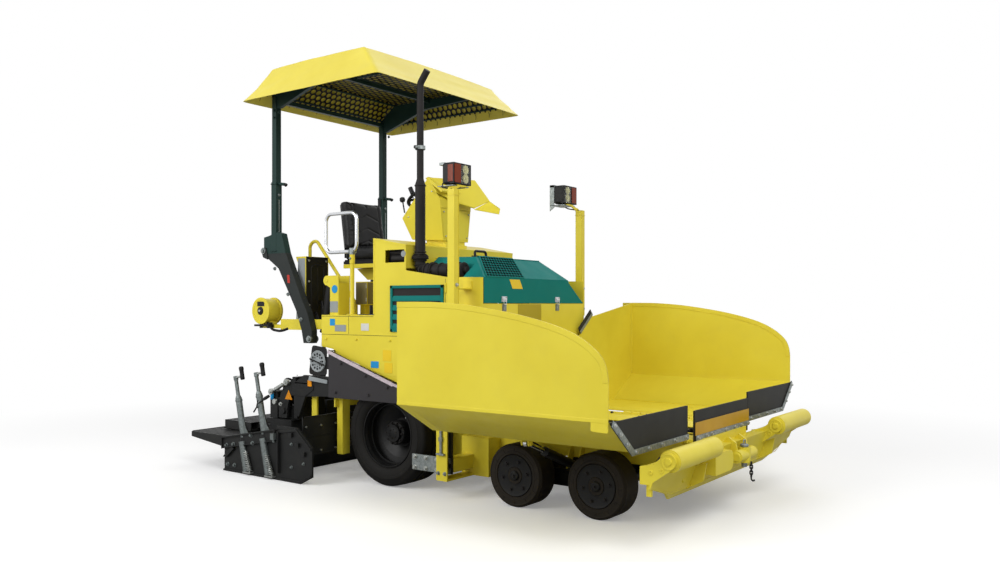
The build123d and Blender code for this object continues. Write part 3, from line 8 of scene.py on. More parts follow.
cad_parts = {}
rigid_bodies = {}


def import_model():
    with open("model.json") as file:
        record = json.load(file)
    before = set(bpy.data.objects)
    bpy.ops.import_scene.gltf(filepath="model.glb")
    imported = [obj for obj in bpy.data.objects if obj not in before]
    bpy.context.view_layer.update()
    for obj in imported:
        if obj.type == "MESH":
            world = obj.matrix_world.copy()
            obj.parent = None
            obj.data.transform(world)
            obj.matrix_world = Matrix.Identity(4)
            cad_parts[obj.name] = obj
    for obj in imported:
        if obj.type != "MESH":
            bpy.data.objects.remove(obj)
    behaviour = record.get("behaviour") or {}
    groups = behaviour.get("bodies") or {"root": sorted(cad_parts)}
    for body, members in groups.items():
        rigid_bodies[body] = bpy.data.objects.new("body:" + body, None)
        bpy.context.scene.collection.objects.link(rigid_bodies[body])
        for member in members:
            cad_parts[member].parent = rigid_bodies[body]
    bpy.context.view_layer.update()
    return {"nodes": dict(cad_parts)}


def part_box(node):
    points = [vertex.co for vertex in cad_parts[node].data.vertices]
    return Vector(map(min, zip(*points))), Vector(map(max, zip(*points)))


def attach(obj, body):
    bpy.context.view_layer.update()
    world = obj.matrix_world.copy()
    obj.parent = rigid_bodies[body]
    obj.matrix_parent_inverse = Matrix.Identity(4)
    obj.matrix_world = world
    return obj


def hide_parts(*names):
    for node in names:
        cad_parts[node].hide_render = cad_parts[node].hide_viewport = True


# A compact wheeled asphalt paver, in metres.
# Pieces are drawn with x forward from the rear axle, y to the left and z up from the ground,
# and piece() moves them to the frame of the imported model.

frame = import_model()
nodes = frame["nodes"]
tyre_low, tyre_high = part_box("rear_tyre_right")
AXLE = Vector(((tyre_low.x + tyre_high.x) / 2, 0, 0))
SIDES = ("left", "right")
FORWARD, LEFT, RIGHT, UP = (1, 0, 0), (0, 1, 0), (0, -1, 0), (0, 0, 1)
V = Vector


# Materials

def linear(code):
    """An sRGB hex colour as the linear values that a shader takes."""
    values = [int(code[i:i + 2], 16) / 255 for i in (0, 2, 4)]
    return [v / 12.92 if v <= 0.04045 else ((v + 0.055) / 1.055) ** 2.4 for v in values] + [1.0]


def add(tree, kind, inputs=None, **settings):
    """Adds a node with its settings, and feeds its inputs with values or with other nodes."""
    made = tree.nodes.new(kind)
    for name, value in settings.items():
        setattr(made, name, value)
    for name, value in (inputs or {}).items():
        if isinstance(value, tuple) and isinstance(value[0], bpy.types.Node):
            tree.links.new(value[0].outputs[value[1]], made.inputs[name])
        else:
            made.inputs[name].default_value = value
    return made


def start_material(name):
    material = bpy.data.materials.new(name)
    material.use_nodes = True
    tree = material.node_tree
    tree.nodes.clear()
    return material, tree, (add(tree, "ShaderNodeTexCoord"), "Object")


def surface(tree, **inputs):
    """The shader of a surface and its output; underscores in the names stand for spaces."""
    shader = add(tree, "ShaderNodeBsdfPrincipled", {name.replace("_", " "): value for name,
                                                    value in inputs.items()})
    add(tree, "ShaderNodeOutputMaterial", {"Surface": (shader, "BSDF")})


def enamel(name, colour, shade, roughness, coat=0.0, peel=0.05, dirt="6b6448", grime=0.0, shine=0.25):
    """Two-pack enamel sprayed on steel: an even colour with a faint orange peel and softened edges."""
    material, tree, place = start_material(name)
    drift = add(tree, "ShaderNodeTexNoise", {"Vector": place, "Scale": 2.2, "Detail": 3.0})
    amount = add(tree, "ShaderNodeMapRange", {"Value": (drift, "Fac"), "From Min": 0.35, "From Max": 0.75})
    tone = add(tree, "ShaderNodeMix", {"Factor": (amount, "Result"), "A": linear(colour), "B": linear(shade)},
               data_type="RGBA")
    if grime:
        # a thin film of dust that gathers in patches a hand wide
        film = add(tree, "ShaderNodeTexNoise", {"Vector": place, "Scale": 9.0, "Detail": 6.0, "Roughness": 0.7})
        dust = add(tree, "ShaderNodeMapRange", {"Value": (film, "Fac"), "From Min": 0.5, "From Max": 0.8,
                                                "To Max": grime})
        tone = add(tree, "ShaderNodeMix", {"Factor": (dust, "Result"), "A": (tone, "Result"), "B": linear(dirt)},
                   data_type="RGBA")
    # orange peel is about 3 mm from crest to crest
    skin = add(tree, "ShaderNodeTexNoise", {"Vector": place, "Scale": 330.0, "Detail": 1.0})
    edge = add(tree, "ShaderNodeBevel", {"Radius": 0.0025}, samples=4)
    bump = add(tree, "ShaderNodeBump", {"Height": (skin, "Fac"), "Strength": peel, "Distance": 0.0004,
                                        "Normal": (edge, "Normal")})
    cloud = add(tree, "ShaderNodeTexNoise", {"Vector": place, "Scale": 9.0, "Detail": 2.0})
    gloss = add(tree, "ShaderNodeMapRange", {"Value": (cloud, "Fac"), "From Min": 0.3, "From Max": 0.7,
                                             "To Min": roughness - 0.04, "To Max": roughness + 0.05})
    surface(tree, Base_Color=(tone, "Result"), Roughness=(gloss, "Result"), Normal=(bump, "Normal"),
            Coat_Weight=coat, Coat_Roughness=0.1, Specular_IOR_Level=shine)
    return material


def zinc_plate(name, colour, shade, roughness):
    """Hot-dip galvanised steel: a mottled spangle 12 mm across, dull and a little uneven."""
    material, tree, place = start_material(name)
    spangle = add(tree, "ShaderNodeTexVoronoi", {"Vector": place, "Scale": 80.0})
    flake = add(tree, "ShaderNodeSeparateColor", {"Color": (spangle, "Color")})
    tone = add(tree, "ShaderNodeMix", {"Factor": (flake, "Red"), "A": linear(colour), "B": linear(shade)},
               data_type="RGBA")
    gloss = add(tree, "ShaderNodeMapRange", {"Value": (flake, "Green"), "To Min": roughness - 0.05,
                                             "To Max": roughness + 0.08})
    edge = add(tree, "ShaderNodeBevel", {"Radius": 0.0015}, samples=4)
    surface(tree, Base_Color=(tone, "Result"), Roughness=(gloss, "Result"), Metallic=0.8,
            Normal=(edge, "Normal"))
    return material


def polished(name, colour, roughness):
    """Chromed or polished steel: a clear mirror with faint smears."""
    material, tree, place = start_material(name)
    smear = add(tree, "ShaderNodeTexNoise", {"Vector": place, "Scale": 40.0, "Detail": 3.0})
    gloss = add(tree, "ShaderNodeMapRange", {"Value": (smear, "Fac"), "From Min": 0.3, "From Max": 0.7,
                                             "To Min": roughness, "To Max": roughness + 0.06})
    surface(tree, Base_Color=linear(colour), Roughness=(gloss, "Result"), Metallic=1.0)
    return material


def moulded(name, colour, dust, roughness, grain=220.0, depth=0.0006, amount=0.6):
    """Moulded rubber or plastic: a fine grain in the mould's skin and a little dust on it."""
    material, tree, place = start_material(name)
    fine = add(tree, "ShaderNodeTexNoise", {"Vector": place, "Scale": grain, "Detail": 2.0})
    patch = add(tree, "ShaderNodeTexNoise", {"Vector": place, "Scale": 6.0, "Detail": 4.0})
    dusty = add(tree, "ShaderNodeMapRange", {"Value": (patch, "Fac"), "From Min": 0.45, "From Max": 0.8,
                                             "To Max": amount})
    tone = add(tree, "ShaderNodeMix", {"Factor": (dusty, "Result"), "A": linear(colour), "B": linear(dust)},
               data_type="RGBA")
    bump = add(tree, "ShaderNodeBump", {"Height": (fine, "Fac"), "Strength": 0.35, "Distance": depth})
    surface(tree, Base_Color=(tone, "Result"), Roughness=roughness, Normal=(bump, "Normal"),
            Specular_IOR_Level=0.2)
    return material


def scoured_steel(name, along):
    """Plain steel rubbed by hot mix: a dark film with brighter scratches along the way it slides."""
    material, tree, place = start_material(name)
    stretched = add(tree, "ShaderNodeMapping", {"Vector": place, "Scale": along})
    streak = add(tree, "ShaderNodeTexNoise", {"Vector": (stretched, "Vector"), "Scale": 1.0, "Detail": 4.0})
    amount = add(tree, "ShaderNodeMapRange", {"Value": (streak, "Fac"), "From Min": 0.45, "From Max": 0.8})
    tone = add(tree, "ShaderNodeMix", {"Factor": (amount, "Result"), "A": linear("2c2b2a"), "B": linear("8a8783")},
               data_type="RGBA")
    gloss = add(tree, "ShaderNodeMapRange", {"Value": (streak, "Fac"), "From Min": 0.3, "From Max": 0.8,
                                             "To Min": 0.55, "To Max": 0.3})
    surface(tree, Base_Color=(tone, "Result"), Roughness=(gloss, "Result"), Metallic=0.7)
    return material


def woven_cloth(name, colour, shade):
    """Coated polyester tarpaulin: a 1 mm weave under a satin skin, its tone drifting in broad random patches."""
    material, tree, place = start_material(name)
    warp = add(tree, "ShaderNodeTexWave", {"Vector": place, "Scale": 160.0}, bands_direction="X")
    weft = add(tree, "ShaderNodeTexWave", {"Vector": place, "Scale": 160.0}, bands_direction="Y")
    weave = add(tree, "ShaderNodeMath", {0: (warp, "Fac"), 1: (weft, "Fac")}, operation="MULTIPLY")
    drift = add(tree, "ShaderNodeTexNoise", {"Vector": place, "Scale": 3.0, "Detail": 4.0})
    amount = add(tree, "ShaderNodeMapRange", {"Value": (drift, "Fac"), "From Min": 0.3, "From Max": 0.75})
    tone = add(tree, "ShaderNodeMix", {"Factor": (amount, "Result"), "A": linear(colour), "B": linear(shade)},
               data_type="RGBA")
    crumple = add(tree, "ShaderNodeTexNoise", {"Vector": place, "Scale": 14.0, "Detail": 3.0, "Distortion": 0.6})
    soft = add(tree, "ShaderNodeBump", {"Height": (crumple, "Fac"), "Strength": 0.25, "Distance": 0.004})
    bump = add(tree, "ShaderNodeBump", {"Height": (weave, "Value"), "Strength": 0.2, "Distance": 0.0002,
                                        "Normal": (soft, "Normal")})
    surface(tree, Base_Color=(tone, "Result"), Roughness=0.48, Normal=(bump, "Normal"), Sheen_Weight=0.15,
            Sheen_Roughness=0.4)
    return material


def clear_lens(name, colour, roughness=0.05):
    """Cast acrylic over a reflector: coloured, glossy and lit from behind by its own mirror."""
    material, tree, place = start_material(name)
    ribs = add(tree, "ShaderNodeTexWave", {"Vector": place, "Scale": 60.0}, bands_direction="Y")
    bump = add(tree, "ShaderNodeBump", {"Height": (ribs, "Fac"), "Strength": 0.3, "Distance": 0.001})
    surface(tree, Base_Color=linear(colour), Roughness=roughness, Normal=(bump, "Normal"),
            Transmission_Weight=0.95, IOR=1.2)
    return material


YELLOW = enamel("yellow_enamel", "e9d842", "e0cd38", 0.36, grime=0.06, dirt="a8985a")
TEAL = enamel("teal_enamel", "177a74", "146f6a", 0.6, shine=0.08)
BLACK = enamel("black_enamel", "141414", "1b1b1b", 0.42, peel=0.12, grime=0.15, dirt="3a382f", shine=0.2)
SCREED = enamel("screed_enamel", "1a1b1b", "232322", 0.46, peel=0.15, grime=0.25, dirt="3c3b35", shine=0.2)
POST = enamel("post_enamel", "1f3632", "263b37", 0.45, shine=0.15)
ARM = enamel("arm_enamel", "272b2a", "2f3332", 0.48, shine=0.15)
GUARD = enamel("guard_enamel", "343234", "393739", 0.5, peel=0.15, shine=0.15)
HEATPROOF = enamel("heatproof_paint", "232121", "2d2b2a", 0.6, peel=0.3, shine=0.15)
PLATE = enamel("plate_enamel", "f1cf2a", "e9c31f", 0.35)
# a darker copy of the yellow sign enamel: painted shade for the sign on the body's front wall
SHADED_SIGN_PLATE = enamel("painted_shade_plate", "b4a11f", "a8951a", 0.4)
CENTRE_PLATE = enamel("centre_plate_enamel", "c99c10", "b98c0c", 0.4, grime=0.1)
BLUE_PLATE = enamel("blue_plate", "2196d6", "1b8ac8", 0.35)
ORANGE_PLATE = enamel("orange_plate", "ee9a12", "e58c0e", 0.35)
RED_PLATE = enamel("red_plate", "c0382c", "b43026", 0.35)
WHITE_PLATE = enamel("white_plate", "dcdcd6", "d0d0ca", 0.35)
GREY_PLATE = enamel("grey_plate", "9aa0a2", "8d9395", 0.4)
CABINET = enamel("cabinet_enamel", "8a8160", "7d7456", 0.45)
ZINC = zinc_plate("galvanised_steel", "959b9a", "7b8281", 0.48)
# a darker copy of the galvanised steel: painted shade for the crank sleeves
SHADE_DARKENED_ZINC = zinc_plate("shade_darkened_zinc", "767d7c", "656b6a", 0.5)
BRIGHT_ZINC = zinc_plate("zinc_bolts", "bfc2bf", "a4a7a2", 0.34)
# a light pinkish metal for the guard's top edge: painted highlight of its flange
EDGE_HIGHLIGHT_ZINC = zinc_plate("painted_edge_highlight", "c9bcc2", "b3a6ad", 0.4)
CHROME = polished("hard_chrome", "d8dadd", 0.1)
STAINLESS = polished("polished_stainless", "c9cbcd", 0.2)
STEEL = scoured_steel("scoured_steel", (3.0, 60.0, 60.0))
TYRE = moulded("tyre_rubber", "161513", "23221f", 0.72, amount=0.4)
SOLID_TYRE = moulded("solid_tyre_rubber", "221d16", "2c261c", 0.66, amount=0.5)
FLAP = moulded("flap_rubber", "262624", "333330", 0.62, grain=120.0)
VINYL = moulded("seat_vinyl", "161617", "202021", 0.45, grain=420.0)
PLASTIC = moulded("moulded_plastic", "141415", "1c1c1e", 0.42, grain=600.0)
HOSE = moulded("hose_rubber", "121213", "1d1d1d", 0.55, grain=700.0)
CLOTH = woven_cloth("coated_tarpaulin", "e6d64e", "dcca3e")
NET = moulded("net_plastic", "15140f", "24221a", 0.5, grain=500.0, amount=0.3)
AMBER = moulded("amber_lens", "7a2a02", "8a3606", 0.22, grain=60.0, amount=0.5)
CLEAR = clear_lens("clear_lens", "dfe2dc")
MIRROR = polished("lamp_reflector", "f3e9b4", 0.22)

FINISHES = {
    "main_frame": YELLOW, "front_bogies": BLACK, "body_shell": YELLOW, "engine_block": BLACK,
    "rear_deck": YELLOW, "hood": TEAL, "hopper_body": YELLOW, "centre_flap": FLAP, "conveyor": STEEL,
    "push_beam": YELLOW, "tow_plates": ZINC, "wheel_guards": GUARD, "screed_main": SCREED,
    "auger_drive": YELLOW, "canopy_arms": ARM, "canopy_masts": POST, "canopy_frame": POST,
    "canopy_roof": CLOTH, "light_poles": YELLOW, "headlamps": PLASTIC, "exhaust": HEATPROOF,
    "console": YELLOW, "steering_wheel": PLASTIC, "seat": VINYL, "seat_mount": BLACK,
    "handrails": STAINLESS, "cable_station": YELLOW,
}
PAIRED_FINISHES = {
    "rear_tyre": TYRE, "rear_rim": BLACK, "hopper_wing": YELLOW, "wing_flap": FLAP, "wing_barrel": BLACK,
    "wing_rod": CHROME, "push_roller": YELLOW, "tow_arm": SCREED, "lift_barrel": BLACK, "lift_rod": CHROME,
    "auger": STEEL, "screed_extension": SCREED, "front_wheel": SOLID_TYRE, "middle_wheel": SOLID_TYRE,
    "front_knuckle": BLACK, "middle_knuckle": BLACK,
}
for kind, finish in PAIRED_FINISHES.items():
    for side in SIDES:
        FINISHES[f"{kind}_{side}"] = finish

# the material slot that a finish belongs to, where it isn't frame_black
SLOTS = {
    YELLOW: "body_yellow", CENTRE_PLATE: "body_yellow", TEAL: "hood_teal", SCREED: "screed_black",
    POST: "post_grey", GUARD: "guard_dark", ZINC: "zinc", SHADE_DARKENED_ZINC: "zinc", BRIGHT_ZINC: "zinc",
    EDGE_HIGHLIGHT_ZINC: "zinc", CHROME: "bright_steel", STAINLESS: "bright_steel", STEEL: "wear_steel",
    TYRE: "tyre", SOLID_TYRE: "solid_tyre", FLAP: "flap_rubber", CLOTH: "canopy_cloth",
    VINYL: "seat_cover", PLASTIC: "wheel_plastic", CLEAR: "lamp", AMBER: "lamp", MIRROR: "lamp",
}


def paint(obj, *materials):
    obj.data.materials.clear()
    for material in materials:
        obj.data.materials.append(material)


for name, obj in nodes.items():
    paint(obj, FINISHES[name])


# Camera, floor and light

camera = bpy.data.objects.new("camera", bpy.data.cameras.new("camera"))
bpy.context.scene.collection.objects.link(camera)
camera.location = V((4.614, -5.5, 1.39)) + AXLE
camera.rotation_euler = (radians(90), 0, radians(36.2))
camera.data.sensor_width = 36.0
camera.data.lens = 31.14
camera.data.shift_y = 0.024
camera.data.clip_end = 200
bpy.context.scene.camera = camera
bpy.context.scene.view_settings.view_transform = "Standard"


def set_up_floor():
    bpy.ops.mesh.primitive_plane_add(size=60, location=(0, 0, -0.0005))
    floor = bpy.context.object
    floor.name = "floor"
    material, tree, place = start_material("pale_floor")
    # what the camera sees of the floor is lifted a little, and turns to plain white far from the machine
    rays = add(tree, "ShaderNodeLightPath")
    tone = add(tree, "ShaderNodeMix", {"Factor": (rays, "Is Camera Ray"), "A": linear("b4b4b4"),
                                       "B": linear("f4f4f4")}, data_type="RGBA")
    matt = add(tree, "ShaderNodeBsdfDiffuse", {"Color": (tone, "Result")})
    lift = add(tree, "ShaderNodeMath", {0: (rays, "Is Camera Ray"), 1: 0.22}, operation="MULTIPLY")
    glow = add(tree, "ShaderNodeEmission", {"Strength": (lift, "Value")})
    near = add(tree, "ShaderNodeAddShader", {0: (matt, "BSDF"), 1: (glow, "Emission")})
    far = add(tree, "ShaderNodeVectorMath", {0: place}, operation="LENGTH")
    ramp = add(tree, "ShaderNodeMapRange", {"Value": (far, "Value"), "From Min": 3.0, "From Max": 7.5},
               interpolation_type="SMOOTHSTEP")
    seen = add(tree, "ShaderNodeMath", {0: (rays, "Is Camera Ray"), 1: (rays, "Is Glossy Ray")},
               operation="MAXIMUM")
    fade = add(tree, "ShaderNodeMath", {0: (ramp, "Result"), 1: (seen, "Value")}, operation="MULTIPLY")
    white = add(tree, "ShaderNodeEmission", {"Strength": 1.0})
    mixed = add(tree, "ShaderNodeMixShader", {0: (fade, "Value"), 1: (near, "Shader"), 2: (white, "Emission")})
    add(tree, "ShaderNodeOutputMaterial", {"Surface": (mixed, "Shader")})
    paint(floor, material)


def set_up_light():
    world = bpy.data.worlds.new("studio")
    bpy.context.scene.world = world
    world.use_nodes = True
    tree = world.node_tree
    tree.nodes.clear()
    rays = add(tree, "ShaderNodeLightPath")
    seen = add(tree, "ShaderNodeMath", {0: (rays, "Is Camera Ray"), 1: (rays, "Is Glossy Ray")},
               operation="MAXIMUM")
    through = add(tree, "ShaderNodeMath", {0: (seen, "Value"), 1: (rays, "Is Transmission Ray")},
                  operation="MAXIMUM")
    soft = add(tree, "ShaderNodeBackground", {"Color": linear("ffffff"), "Strength": 0.42})
    white = add(tree, "ShaderNodeBackground", {"Color": linear("ffffff"), "Strength": 1.0})
    mixed = add(tree, "ShaderNodeMixShader", {0: (through, "Value"), 1: (soft, "Background"),
                                              2: (white, "Background")})
    add(tree, "ShaderNodeOutputWorld", {"Surface": (mixed, "Shader")})
    # place, aim, size in metres, power in watts
    lamps = (((6.5, -3.5, 6.5), (0.5, 0, 1.0), 4.0, 320.0),
             ((-3.0, -8.0, 5.0), (0, 0, 1.2), 5.0, 400.0),
             ((0.0, 5.0, 7.5), (0, 0, 1.2), 6.0, 150.0))
    for number, (spot, aim, size, power) in enumerate(lamps):
        data = bpy.data.lights.new(f"softbox_{number}", "AREA")
        data.size = size
        data.energy = power
        lamp = bpy.data.objects.new(f"softbox_{number}", data)
        bpy.context.scene.collection.objects.link(lamp)
        lamp.location = spot
        lamp.rotation_euler = (V(aim) - V(spot)).to_track_quat("-Z", "Y").to_euler()


bpy.ops.object.select_all(action="DESELECT")
set_up_floor()
set_up_light()


# Tools for making pieces

def only(obj):
    """Selects one object and makes it the active one."""
    bpy.ops.object.select_all(action="DESELECT")
    obj.select_set(True)
    bpy.context.view_layer.objects.active = obj


def shaped(obj, kind, **settings):
    """Adds a modifier with its settings and applies it."""
    only(obj)
    made = obj.modifiers.new(kind.lower(), kind)
    for name, value in settings.items():
        setattr(made, name, value)
    bpy.ops.object.modifier_apply(modifier=made.name)


def edit_all():
    """Edit mode with the whole mesh selected."""
    bpy.ops.object.mode_set(mode="EDIT")
    bpy.ops.mesh.select_all(action="SELECT")


def leave_closed():
    """Turns the faces of a closed mesh outwards and leaves edit mode."""
    bpy.ops.mesh.select_all(action="SELECT")
    bpy.ops.mesh.normals_make_consistent(inside=False)
    bpy.ops.object.mode_set(mode="OBJECT")


def bar(low, high):
    """A square-edged block between its lowest and highest corners."""
    low, high = V(low), V(high)
    bpy.ops.mesh.primitive_cube_add(size=1, location=(low + high) / 2, scale=high - low)
    return bpy.context.object


def outline(points, fill="NGON"):
    """A closed row of corners, as one face or as a bare loop."""
    bpy.ops.mesh.primitive_circle_add(vertices=len(points), fill_type=fill, location=(0, 0, 0))
    obj = bpy.context.object
    for vertex, point in zip(obj.data.vertices, points):
        vertex.co = point
    return obj


def slab(points, depth):
    """A flat plate: one face with these corners, drawn out by depth."""
    obj = outline(points)
    edit_all()
    bpy.ops.mesh.extrude_region_move(TRANSFORM_OT_translate={"value": depth})
    leave_closed()
    return obj


def slab_y(points, low, high):
    """A plate across y, from corners in x and z."""
    return slab([(x, low, z) for x, z in points], (0, high - low, 0))


def slab_x(points, low, high):
    """A plate across x, from corners in y and z."""
    return slab([(low, y, z) for y, z in points], (high - low, 0, 0))


def slab_z(points, low, high):
    """A plate across z, from corners in x and y."""
    return slab([(x, y, low) for x, y in points], (0, 0, high - low))


def cyl(start, end, diameter, end_diameter=None, sides=24):
    """A round bar, or a cone, from one point to another."""
    start, end = V(start), V(end)
    bpy.ops.mesh.primitive_cone_add(vertices=sides, radius1=diameter / 2,
                                    radius2=(diameter if end_diameter is None else end_diameter) / 2,
                                    depth=(end - start).length, location=(start + end) / 2,
                                    rotation=(end - start).to_track_quat("Z", "Y").to_euler())
    return bpy.context.object


def spun(profile, centre, axis, steps=32):
    """A ring or disc: a closed profile of (radius, distance along the axis), spun once round."""
    obj = outline([(radius, 0, along) for radius, along in profile], "NOTHING")
    edit_all()
    bpy.ops.mesh.spin(steps=steps, angle=2 * pi, center=(0, 0, 0), axis=UP)
    bpy.ops.mesh.select_all(action="SELECT")
    bpy.ops.mesh.remove_doubles(threshold=0.00002)
    leave_closed()
    obj.matrix_world = Matrix.Translation(centre) @ V(axis).to_track_quat("Z", "Y").to_matrix().to_4x4()
    return obj


def tube(points, diameter, bend=0.0, sides=4, loop=False):
    """A bent tube or hose through these points, its corners rounded to one radius."""
    bpy.ops.curve.primitive_bezier_curve_add(location=(0, 0, 0))
    obj = bpy.context.object
    points = [V(point) for point in points]
    knots = []      # place, handle before, handle after
    for number, point in enumerate(points):
        at_end = not loop and number in (0, len(points) - 1)
        if at_end or not bend:
            knots.append((point, point, point))
            continue
        before = (points[number - 1] - point)
        after = (points[(number + 1) % len(points)] - point)
        half = before.angle(after) / 2
        back = min(bend / max(0.05, tan(half)), before.length * 0.49, after.length * 0.49)
        first, last = point + before.normalized() * back, point + after.normalized() * back
        knots += [(first, first, first.lerp(point, 0.55)),
                  (last, last.lerp(point, 0.55), last)]
    spline = obj.data.splines[0]
    spline.bezier_points.add(len(knots) - 2)
    for knot, (place, left, right) in zip(spline.bezier_points, knots):
        knot.handle_left_type = knot.handle_right_type = "FREE"
        knot.co, knot.handle_left, knot.handle_right = place, left, right
    spline.use_cyclic_u = loop
    obj.data.dimensions = "3D"
    obj.data.resolution_u = 6
    obj.data.bevel_depth = diameter / 2
    obj.data.bevel_resolution = sides
    obj.data.use_fill_caps = not loop
    only(obj)
    bpy.ops.object.convert(target="MESH")
    return bpy.context.object


def twin(obj):
    """A copy with its own mesh."""
    more = obj.copy()
    more.data = obj.data.copy()
    bpy.context.scene.collection.objects.link(more)
    return more


def copies(obj, places):
    """More of one shape: a copy with its own mesh at each further place, a matrix or a shift."""
    made = [obj]
    for place in places:
        more = twin(obj)
        move = place if isinstance(place, Matrix) else Matrix.Translation(place)
        more.matrix_world = move @ obj.matrix_world
        made.append(more)
    return made


def mirrored(parts):
    """The same parts on the other side of the centre line."""
    made = []
    for obj in parts:
        more = twin(obj)
        more.data.transform(Matrix.Scale(-1, 4, LEFT) @ obj.matrix_world)
        more.data.flip_normals()
        more.matrix_world = Matrix()
        made.append(more)
    return made


def bolts(places, facing, across=0.018, washer=True):
    """Hexagon heads on washers, one mesh copied to each place; facing is the way they look."""
    head = cyl((0, 0, 0.002), (0, 0, 0.002 + across * 0.6), across, across * 0.96, sides=6)
    parts = [head]
    if washer:
        parts.append(cyl((0, 0, -0.001), (0, 0, 0.0025), across * 1.5, sides=20))
    only(head)
    for part in parts:
        part.select_set(True)
    bpy.ops.object.join()
    turn = V(facing).to_track_quat("Z", "Y").to_matrix().to_4x4()
    made = copies(head, [Matrix.Translation(place) @ turn for place in places[1:]])
    head.matrix_world = Matrix.Translation(places[0]) @ turn @ head.matrix_world
    return made


def rounded(points, radius, steps=4):
    """The corners of a flat outline, each rounded with a short arc."""
    made = []
    count = len(points)
    for number, (u, v) in enumerate(points):
        here, before, after = V((u, v)), V(points[number - 1]), V(points[(number + 1) % count])
        to_before, to_after = (before - here), (after - here)
        half = to_before.angle(to_after) / 2
        back = min(radius / tan(half), to_before.length * 0.49, to_after.length * 0.49)
        start, end = here + to_before.normalized() * back, here + to_after.normalized() * back
        for step in range(steps + 1):
            t = step / steps
            made.append(tuple(start * (1 - t) ** 2 + here * 2 * t * (1 - t) + end * t ** 2))
    return made


def piece(name, parts, material, body="root", slot=None, bevel=0.0, replaces=(), angle=30):
    """Joins parts into one named piece in the model's frame, breaks its edges and lets it ride."""
    slot = slot or SLOTS.get(material, "frame_black")
    parts = list(parts)
    only(parts[0])
    for part in parts:
        part.select_set(True)
    if len(parts) > 1:
        bpy.ops.object.join()
    obj = bpy.context.object
    obj.name = obj.data.name = name
    obj.location += AXLE
    bpy.ops.object.transform_apply(location=True, rotation=True, scale=True)
    if bevel:
        shaped(obj, "BEVEL", width=bevel, segments=2, limit_method="ANGLE", angle_limit=radians(35))
    bpy.ops.object.shade_smooth_by_angle(angle=radians(angle))
    if bevel:
        # flat faces keep their own normals beside the broken edges
        shaped(obj, "WEIGHTED_NORMAL", keep_sharp=True)
    paint(obj, material)
    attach(obj, body)
    if replaces:
        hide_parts(*replaces)
    return obj


def pair(name, parts, material, body="root", **more):
    """The same piece on both sides; {} in the body's name stands for the side."""
    far = mirrored(parts)
    piece(f"{name}_left", parts, material, body.format("left"), **more)
    piece(f"{name}_right", far, material, body.format("right"), **more)


def both(name, parts, material, **more):
    """One piece of these parts and their mirror images."""
    return piece(name, parts + mirrored(parts), material, **more)


def around(centre, radius, count, axis=LEFT, first=0.0):
    """Places spaced evenly round a circle about one of the machine's three directions."""
    centre = V(centre)
    for number in range(count):
        turn = first + number * 2 * pi / count
        a, b = cos(turn) * radius, sin(turn) * radius
        yield centre + V((a, 0, b) if axis == LEFT else (a, b, 0) if axis == UP else (0, a, b))


def near(parts):
    """Parts that were drawn on the left, moved over to the right-hand side."""
    far = mirrored(parts)
    for part in parts:
        bpy.data.objects.remove(part)
    return far


def set_down(parts, origin, across, up):
    """Turns parts drawn flat, x across, y up and z out of the face, onto a face of the machine."""
    across = V(across).normalized()
    out = across.cross(V(up)).normalized()
    turn = Matrix((across, out.cross(across), out)).transposed().to_4x4()
    for part in parts:
        part.matrix_world = Matrix.Translation(origin) @ turn @ part.matrix_world
    return parts


def helix(start, end, across, wire, turns):
    """A coil spring between two points."""
    start, end = V(start), V(end)
    turn = (end - start).to_track_quat("Z", "Y")
    count = turns * 10
    points = [start.lerp(end, n / count) + turn @ V((cos(n * pi / 5), sin(n * pi / 5), 0)) * across / 2
              for n in range(count + 1)]
    return tube(points, wire, sides=1)


# Canopy

RIM, RISE, ARCH = 3.1, 0.245, 0.02
REAR_EDGE, FRONT_EDGE, SIDE_EDGE = -1.44, 0.146, 0.914
REAR_FOLD, FRONT_FOLD, SIDE_FOLD = -1.18, -0.1, 0.81
MAST_X, MAST_Y = -1.308, 0.65


